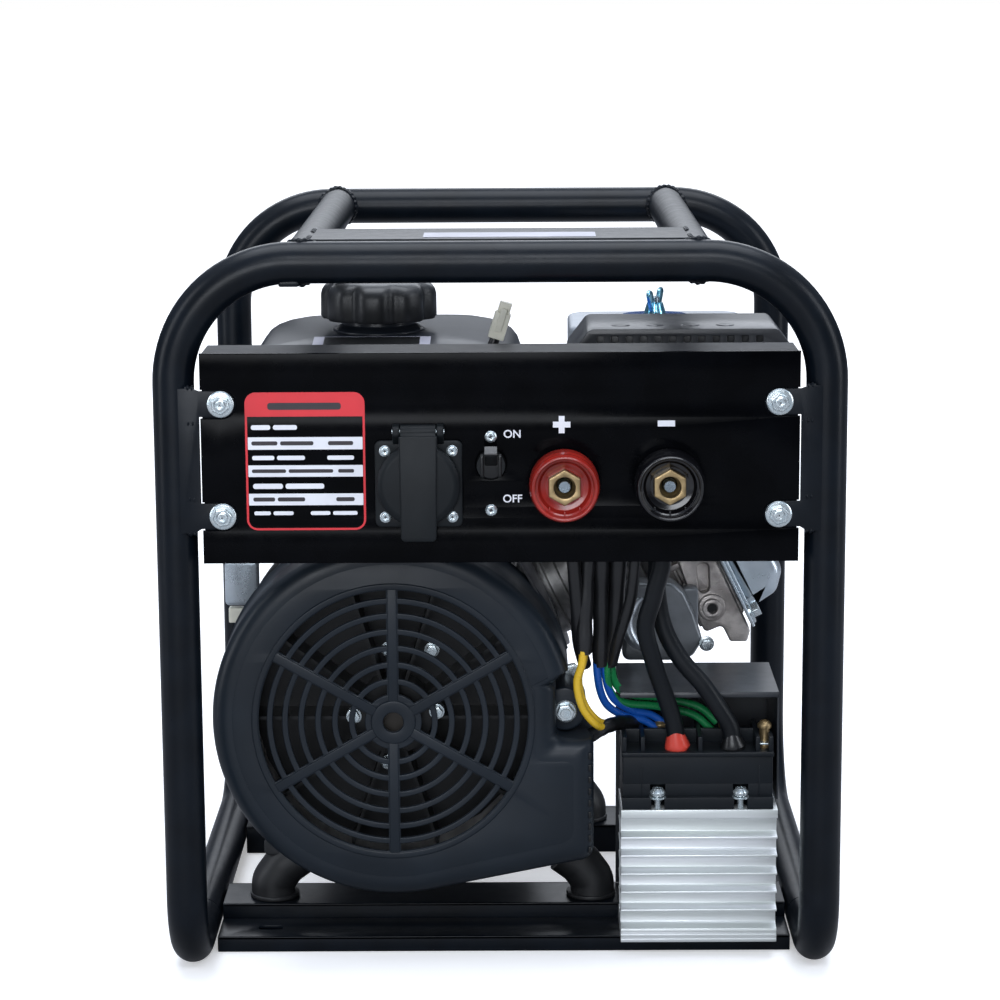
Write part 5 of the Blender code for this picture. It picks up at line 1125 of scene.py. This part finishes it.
PRESSED = finish("pressed_steel", "zinc", (0.52, 0.6, 0.66), 0.3, metal=0.78, grain=700, depth=0.0001,
                 strength=0.12,
                 mottle=0.12, tint=(0.6, 0.64, 0.68), patch=22, drift=0.16)
dome = np.array([(223.0, -71.0), (246.0, -68.0), (256.0, -56.0), (256.0, 26.0), (246.0, 38.0),
                 (223.0, 41.0)]) + CRANK
bowl = slab([softened(dome, (1, 10, 12, 12, 10, 1), 6)], "Y", -16.0, 62.0, 8.0, 5)
rim = block((x0 + 221.3, -24.0, CRANK[1] - 80.0), (x0 + 223.6, 66.0, CRANK[1] + 50.0), 0.8, 1.0, "Y")
bead = block((x0 + 223.0, -20.0, CRANK[1] - 76.0), (x0 + 226.0, 64.0, CRANK[1] + 46.0), 1.2, 1.2, "Y")
corners = [turned([(0, x0 + 223.4), (8.6, x0 + 223.4), (8.6, x0 + 225.0), (7.0, x0 + 225.6),
                   (0, x0 + 225.6)], (y, CRANK[1] + t),
                  "X", 32) for y in (-15.0, 57.0) for t in (-71.0, 41.0)]
hexes = [slab([softened(hexagon((y, CRANK[1] + t), 5.6, 17 * k), 0.5, 3)], "X", x0 + 225.2, x0 + 231.0, 0.6)
         for k, (y, t) in enumerate(((-15.0, -71.0), (57.0, -71.0), (-15.0, 41.0), (57.0, 41.0)))]
put("pressed_cover", joined(along(bowl), along(rim), along(bead)), PRESSED, stands_for=("valve_cover",),
    crease=38)
put("cover_bolts", joined(*[along(part) for part in corners + hexes]), ZINC, crease=24)

DUCT = finish("duct_coat", "powder_coat", (0.2, 0.215, 0.23), 0.34, metal=0.5, grain=1100, strength=0.15,
              mottle=0.2,
              patch=30, drift=0.2)
duct_line = softened([(81.3, 218.1), (111.5, 218.6), (119.4, 211.9), (126.1, 197.7), (132.1, 179.4),
                      (126.3, 169.9), (120.3, 165.9), (78.7, 166.1)],
                     (5, 8, 10, 14, 6, 4, 3, 5), 6)
duct = slab([duct_line], "Y", -46.0, -24.0, 3.0, 4)
link = block((119.0, -30.0, 178.0), (130.0, -12.0, 212.0), 1.5, 3.0, "Y")
put("air_duct", joined(duct, link), DUCT)
crescent = swept([(98.0 - 16.0 * math.cos(a), -46.5, 192.0 + 18.0 * math.sin(a))
                  for a in np.linspace(-1.3, 1.2, 26)],
                 np.interp(np.arange(26), (0, 6, 19, 25), (1.0, 4.2, 4.2, 1.0)), 20)
put("duct_crescent", crescent, PRESSED)
put("duct_bolts", joined(bolt_y(134.5, 177.6, -50.0, 6.0, 4.0, 10)), ZINC, crease=24)

# ---- Muffler, carburettor and air cleaner -----------------------------------------------------------
# The muffler hides under a slotted guard; the air cleaner has a pale cover with a blue washer and a
# wing nut on it.
SOOT = finish("muffler_steel", "steel", (0.09, 0.085, 0.08), 0.45, metal=0.8, grain=900, mottle=0.35,
              patch=50, drift=0.2)
can = slab([rounded(-88.0, 300.0, -36.0, 372.0, 14.0, 8)], "X", 62.0, 168.0, 4.0, 3)
pipe = turned([(0, 293.3), (12, 293.3), (12, 326.0), (0, 326.0)], (92.0, -10.0), "Z", 32)
put("muffler_can", joined(can, pipe), SOOT, stands_for=("muffler",))
SHIELD = finish("guard_grey", "powder_coat", (0.028, 0.03, 0.034), 0.34, grain=1000, strength=0.15,
                mottle=0.2, dust=0.1)
front_line = softened([(43.0, 290.0), (187.0, 290.0), (187.0, 377.0), (174.0, 394.0), (56.0, 394.0),
                       (43.0, 377.0)],
                      (1, 1, 6, 6, 6, 6), 5)
windows = [rounded(x - 2.3, 385.2, x + 2.3, 389.6, 0.9, 3) for x in 62.4 + 9.1 * np.arange(12)]
windows += [rounded(x - 3.0, z - 14.0, x + 3.0, z + 14.0, 2.9, 4) for x in 60.0 + 14.0 * np.arange(9)
            for z in (318.0, 352.0)]
front_sheet = slab([front_line] + windows, "Y", -102.0, -100.6, 0.4)
flat = softened([(43.0, 290.5), (43.0, 377.0), (56.0, 394.0), (174.0, 394.0), (187.0, 377.0), (187.0, 290.5)],
                (0, 6, 6, 6, 6, 0), 5, closed=False)
centre = flat.mean(0)
inside = flat + 1.4 * np.sign(centre - flat) * (1.0, 1.0)
inside[0, 1] = inside[-1, 1] = 290.5
hoodline = np.vstack([flat, inside[::-1]])
wrap = joined(slab([hoodline], "Y", -101.4, -24.0, 0.3, 1),
              block((60.0, -96.0, 374.0), (170.0, -94.5, 392.0), 0.5))
bosses = [turned(softened([(0, 393.4), (7, 393.4), (5, 394.6), (0, 394.6)], (0, .3, .3, 0), 2), (x, -84.0),
                 "Z", 24)
          for x in (76.0, 98.0, 120.0, 142.0)]
put("slotted_guard", joined(front_sheet, wrap, *bosses), SHIELD, stands_for=("muffler_guard",), crease=38)

bowl = turned(softened([(0, 244.0), (10, 244.0), (14, 249.0), (14, 270.0), (0, 270.0)], (0, 3, 3, 1, 0), 4),
              (106, 93), "Z", 40)
throat = turned(softened([(0, 298.0), (16, 298.0), (16, 315.6), (0, 315.6)], (0, 1, 1, 0), 3), (106, 93),
                "Z", 40)
barrel = block((88.0, 76.0, 268.0), (124.0, 110.0, 300.0), 2.5, 4.0)
screws = [upright((x, y), [(0, 299.8), (2.6, 299.8), (2.6, 302.0), (0, 302.6)], 16) for x in (92.0, 120.0)
          for y in (80.0, 106.0)]
put("carburettor_body", joined(bowl, throat, barrel, *screws), CAST, stands_for=("carburettor",))
CASE_GREY = finish("air_case", "grey_plastic", (0.15, 0.16, 0.18), 0.4, grain=1400, strength=0.2, drift=0.12,
                   dust=0.1)
PALE_GREY = finish("air_cover", "grey_plastic", (0.36, 0.39, 0.43), 0.34, grain=1200, strength=0.18,
                   mottle=0.1, dust=0.1)
tray = slab([rounded(46.0, 44.0, 168.0, 138.0, 16.0, 8)], "Z", 316.0, 347.0, 3.0, 3)
brim = slab([rounded(45.0, 43.0, 169.0, 139.0, 17.0, 8)], "Z", 345.0, 350.0, 0.8)
put("air_cleaner_tray", joined(tray, brim), CASE_GREY, stands_for=("air_cleaner_case",))
lid = slab([rounded(46.0, 44.0, 168.0, 138.0, 16.0, 8)], "Z", 350.3, 376.0, 3.5, 4)
louvres = [block((x, 42.8, 356.0), (x + 3.0, 46.0, 371.0), 0.5) for x in np.arange(62.0, 152.0, 7.0)]
put("air_cleaner_lid", joined(lid, *louvres), PALE_GREY, stands_for=("air_cleaner_cover",))
BLUE_WASHER = finish("blue_washer", "blue_lead", (0.012, 0.11, 0.42), 0.15, grain=600, strength=0.08,
                     coat=0.4)
washer = turned(softened([(4.0, 376.0), (26.0, 376.0), (26.0, 377.6), (23.0, 379.0), (4.0, 379.0)],
                         (0, .3, .6, .8, 0), 3),
                (106.0, 90.0), "Z", 64, loop=True)
put("cover_washer", washer, BLUE_WASHER)
CYAN_NUT = finish("passivated_nut", "zinc", (0.08, 0.42, 0.62), 0.16, metal=0.85, grain=700, strength=0.1,
                  mottle=0.35,
                  tint=(0.3, 0.62, 0.75), patch=260, coat=0.4)
cone = upright((0, 0), softened([(0, 379.3), (8, 379.3), (7.2, 382.0), (5.4, 388.0), (0, 388.0)],
                                (0, .6, 1, 1, 0), 3))
wings = []
for side in (-1, 1):
    wing = softened([(side * 2.0, 381.0), (side * 8.0, 382.0), (side * 14.5, 394.5), (side * 11.5, 397.5),
                     (side * 7.0, 396.0), (side * 3.4, 388.5)], (1, 2, 2.4, 2.4, 2.5, 1), 5)
    wings.append(slab([wing], "Y", -1.3, 1.3, 0.8, 3))
stud = upright((0, 0), [(0, 379.5), (3.0, 379.5), (3.0, 391.0), (2.2, 392.0), (0, 392.0)], 24)
put("wing_nut_cast", tilted(joined(cone, *wings), math.radians(66), (0, 0, 0), "Z", (106.0, 90.0, 0)),
    CYAN_NUT,
    "wing_nut", ("wing_nut",))
put("cleaner_stud", (stud[0] + (106.0, 90.0, 0.0), stud[1]), STEEL)
lever = slab([softened([(55.0, 92.5), (76.0, 90.5), (80.5, 96.0), (76.0, 101.5), (55.0, 99.5)],
                       (2.5, 3, 5, 3, 2.5), 5)], "Z",
             303.2, 305.8, 0.5)
tab = block((55.0, 92.6, 299.0), (57.6, 99.4, 308.5), 0.8)
put("choke_tab", joined(lever, tab), STEEL, "choke_lever", ("choke_lever",))
lever = slab([softened([(104.5, 273.0), (111.0, 273.0), (132.0, 275.2), (132.0, 280.8), (111.0, 283.0),
                        (104.5, 283.0)],
                       (3, 2, 2, 2, 2, 3), 4)], "Y", 110.5, 114.0, 0.8)
put("cock_tab", lever, RED_PLASTIC, "fuel_cock_lever", ("fuel_cock_lever",))

# ---- Fuel tank ------------------------------------------------------------------------------------
# Pressed steel tank in satin black: its top shoulder is broad and round, with a fluted filler cap. A
# blank label lies on the shoulder, and an unused connector stands up beside the tank.
TANK = finish("tank_enamel", "tank_paint", (0.008, 0.0105, 0.0155), 0.36, coat=0.05, grain=900, depth=0.00004,
              strength=0.04, mottle=0.1, patch=12, drift=0.04, dust=0.02, specular=0.28)
PROFILE = [(300.0, 9.0), (301.0, 6.0), (303.5, 4.6), (306.0, 2.2), (309.0, 0.8), (316.0, 0.2), (338.0, 0.0),
           (338.4, -0.8),
           (341.0, -0.8), (341.4, 0.0), (356.0, 0.4), (362.0, 1.2), (368.0, 3.2), (373.0, 7.0), (376.5, 12.0),
           (379.4, 19.0), (381.6, 28.0), (383.2, 40.0), (384.0, 54.0), (384.3, 70.0)]
rings = [np.insert(rounded(-165 + i, -104 + i, 14 - i, 104 - i, max(34 - 0.55 * i, 9), 10), 2, z, axis=1)
         for z, i in PROFILE]
filler = turned(softened([(0, 380.0), (30.0, 380.0), (30.0, 385.0), (24.0, 388.0), (24.0, 398.0),
                          (0, 398.0)], 1.5, 3,
                         closed=False), (-80.0, -20.0), "Z", 64)
straps = [block((x, y - 8.0, 297.6), (x + 14.0, y + 8.0, 302.0), 0.6, 2.0) for x in (-160.0, -5.0)
          for y in (-70.0, 70.0)]
put("tank_shell", joined(skin(np.stack(rings)), filler, *straps), TANK, stands_for=("fuel_tank",), crease=50)
CAP_PLASTIC = finish("cap_plastic", "black_plastic", (0.011, 0.012, 0.0135), 0.4, grain=1700, strength=0.25,
                     drift=0.12,
                     dust=0.06)
angle = np.radians(np.arange(0, 360, 1.5))
flute = np.exp(-((np.mod(np.degrees(angle) + 4.0, 45.0) - 22.5) / 8.5) ** 2)
cap_rings = [np.stack([-80 + (r - d * flute) * np.cos(angle), -20 + (r - d * flute) * np.sin(angle),
                       np.full(len(angle), z)], -1)
             for r, d, z in ((33.0, 2.2, 391.6), (36.6, 3.6, 392.0), (38.0, 4.2, 394.0), (37.8, 4.2, 408.0),
                             (37.0, 4.0, 411.0),
                             (35.2, 3.4, 413.6), (32.0, 2.4, 415.4), (27.0, 1.0, 416.4), (18.0, 0.0, 416.5))]
put("fluted_cap", skin(np.stack(cap_rings)), CAP_PLASTIC, "fuel_cap", ("fuel_cap",), crease=40)
steps = np.array([(380.0, 21.5), (381.4, 27.2), (382.4, 33.5), (383.2, 40.0), (383.8, 48.0)])
label = []
for x in np.linspace(-120.0, -45.0, 12):
    outer = [(x, -104.35 + i, z + 0.3) for z, i in steps]
    inner = [(x, -103.9 + i, z - 0.1) for z, i in steps[::-1]]
    label.append(outer + inner)
put("tank_label", skin(np.array(label)), LABEL)
put("tank_label_band", skin(np.array([[(p[0], p[1] - 0.12, p[2] + 0.1)
                                       for p in [row[0] * 0.85 + row[1] * 0.15, row[1], row[2], row[3],
                                               row[3] * 0.15 + row[4] * 0.85,
                                       row[5] * 0.85 + row[6] * 0.15, row[6], row[7], row[8],
                                       row[8] * 0.15 + row[9] * 0.85]] for row in np.array(label[1:-1])])),
    DARK_PLASTIC)
OFF_WHITE = finish("connector_nylon", "grey_plastic", (0.85, 0.83, 0.7), 0.4, grain=900, strength=0.15)
plug = joined(block((-5.0, -4.5, 0.0), (5.0, 4.5, 17.0), 0.7),
              block((-3.8, -3.6, 17.0), (3.8, 3.6, 23.5), 0.5),
              block((-2.0, -6.2, 5.0), (2.0, -4.0, 20.0), 0.5))
put("spare_connector", tilted(plug, math.radians(-17), (0, 0, 0), "Y", (-3.0, -120.0, 391.0)), OFF_WHITE)
wire = curve_through([(-22.0, -112.0, 300.0), (-16.0, -116.0, 350.0), (-8.0, -120.0, 378.0),
                      (-2.5, -120.0, 393.0)])
put("connector_wire", swept(wire, 3.2, 16), SLEEVE)

# ---- Small fittings on the left ---------------------------------------------------------------------
# A plated oil-alert unit sits by the crankcase with its red lead and white plug.
unit = block((-182.0, -52.0, 206.0), (-160.0, -40.0, 236.0), 1.6, 3.0, "Y")
lug = block((-176.0, -50.0, 232.0), (-166.0, -47.5, 246.0), 0.6, 2.0, "Y")
put("alert_unit", joined(unit, lug, bolt_y(-171.0, 241.0, -54.0, 4.0, 4.0, 8)), PRESSED, crease=30)
put("alert_lead", swept(curve_through([(-165.0, -48.0, 236.0), (-163.0, -50.0, 246.0), (-158.0, -52.0, 256.0),
                                       (-150.0, -50.0, 268.0)]), 1.6, 12), RED_SLEEVE)
put("alert_plug", joined(block((-180.0, -50.0, 194.0), (-170.0, -43.0, 204.0), 0.8),
                         swept(curve_through([(-175.0, -46.0, 195.0), (-172.0, -44.0, 182.0),
                                              (-160.0, -40.0, 168.0)]), 1.8, 12)),
    OFF_WHITE)

# ---- Rear of the engine -----------------------------------------------------------------------------
# Pressed blower housing round the flywheel and a slotted recoil cover; the grip slides out to the rear,
# and no rope is drawn behind it.
SHELL = finish("blower_enamel", "powder_coat", (0.02, 0.021, 0.023), 0.3, coat=0.2, grain=900, strength=0.14,
               dust=0.08)
shell_line = softened([(80.0, 129.0), (96.0, 129.0), (104.0, 120.0), (104.0, 73.0), (102.4, 73.0),
                       (102.4, 119.4),
                       (95.4, 127.4), (80.0, 127.4)], (0.3, 5, 6, 0.3, 0.3, 5, 4, 0.3), 5)
lobe = block((CRANK[0] + 60.0, 76.0, CRANK[1] + 40.0), (CRANK[0] + 118.0, 126.0, CRANK[1] + 92.0), 4.0, 14.0,
             "Y")
lips = [bolt_y(*(CRANK + 99.0 * np.array([math.cos(a), math.sin(a)])), 68.6, 6.0, 4.6)
        for a in np.radians([45, 135, 225, 315])]
put("blower_shell", joined(turned(shell_line, CRANK, "Y", 96, loop=True), lobe, *lips), SHELL,
    stands_for=("blower_housing",),
    crease=38)
dome = softened([(78.0, 129.3), (78.0, 150.0), (70.0, 160.0), (66.0, 172.0), (64.5, 172.0), (68.0, 158.5),
                 (76.4, 149.0),
                 (76.4, 129.3)], (0.3, 6, 6, 1, 0.3, 5, 5, 0.3), 5)
openings = [softened(np.vstack([arc(CRANK, 58.0, a - 5.0, a + 5.0, 4),
                                arc(CRANK, 30.0, a + 7.0, a - 7.0, 4)]), 1.6, 3)
            for a in range(0, 360, 24)]
EYE_AT = np.array([-119.5, 210.0])
back = slab([ring(CRANK, 66.0, 96)] + openings, "Y", 170.0, 172.0, 0.5)
cup = turned(softened([(0, 165.0), (24.0, 165.0), (24.0, 170.5), (0, 170.5)], 0.6, 2, closed=False), CRANK,
             "Y", 48)
eye = slab([ring(EYE_AT, 10.0, 40), ring(EYE_AT, 3.4, 24)], "Y", 150.0, 172.0, 1.0)
arms = [tilted(block((CRANK[0] + 74.0, 129.5, CRANK[1] - 8.0), (CRANK[0] + 92.0, 132.0, CRANK[1] + 8.0), 0.6,
                     4.0, "Y"),
               math.radians(a), AXLE) for a in (30, 150, 270)]
put("recoil_shell", joined(turned(dome, CRANK, "Y", 96, loop=True), back, cup, eye, *arms), SHELL,
    stands_for=("recoil_cover",),
    crease=38)
stem = turned(softened([(0, 172.4), (6.0, 172.4), (9.0, 178.0), (9.0, 190.0), (0, 190.0)], (0, 1, 2, 2, 0),
                       4), EYE_AT, "Y", 40)
grip = slab([softened([(EYE_AT[0] - 34, EYE_AT[1] - 6.5), (EYE_AT[0], EYE_AT[1] - 8),
                       (EYE_AT[0] + 34, EYE_AT[1] - 6.5),
                       (EYE_AT[0] + 34, EYE_AT[1] + 6.5), (EYE_AT[0], EYE_AT[1] + 8),
                       (EYE_AT[0] - 34, EYE_AT[1] + 6.5)],
                      (5, 20, 5, 5, 20, 5), 6)], "Y", 178.0, 190.0, 4.0, 4)
put("pull_grip", joined(stem, grip), DARK_PLASTIC, "starter_handle", ("starter_handle",))
paint(CAST, "flywheel")
paint(DARK_PLASTIC, "recoil_pulley")
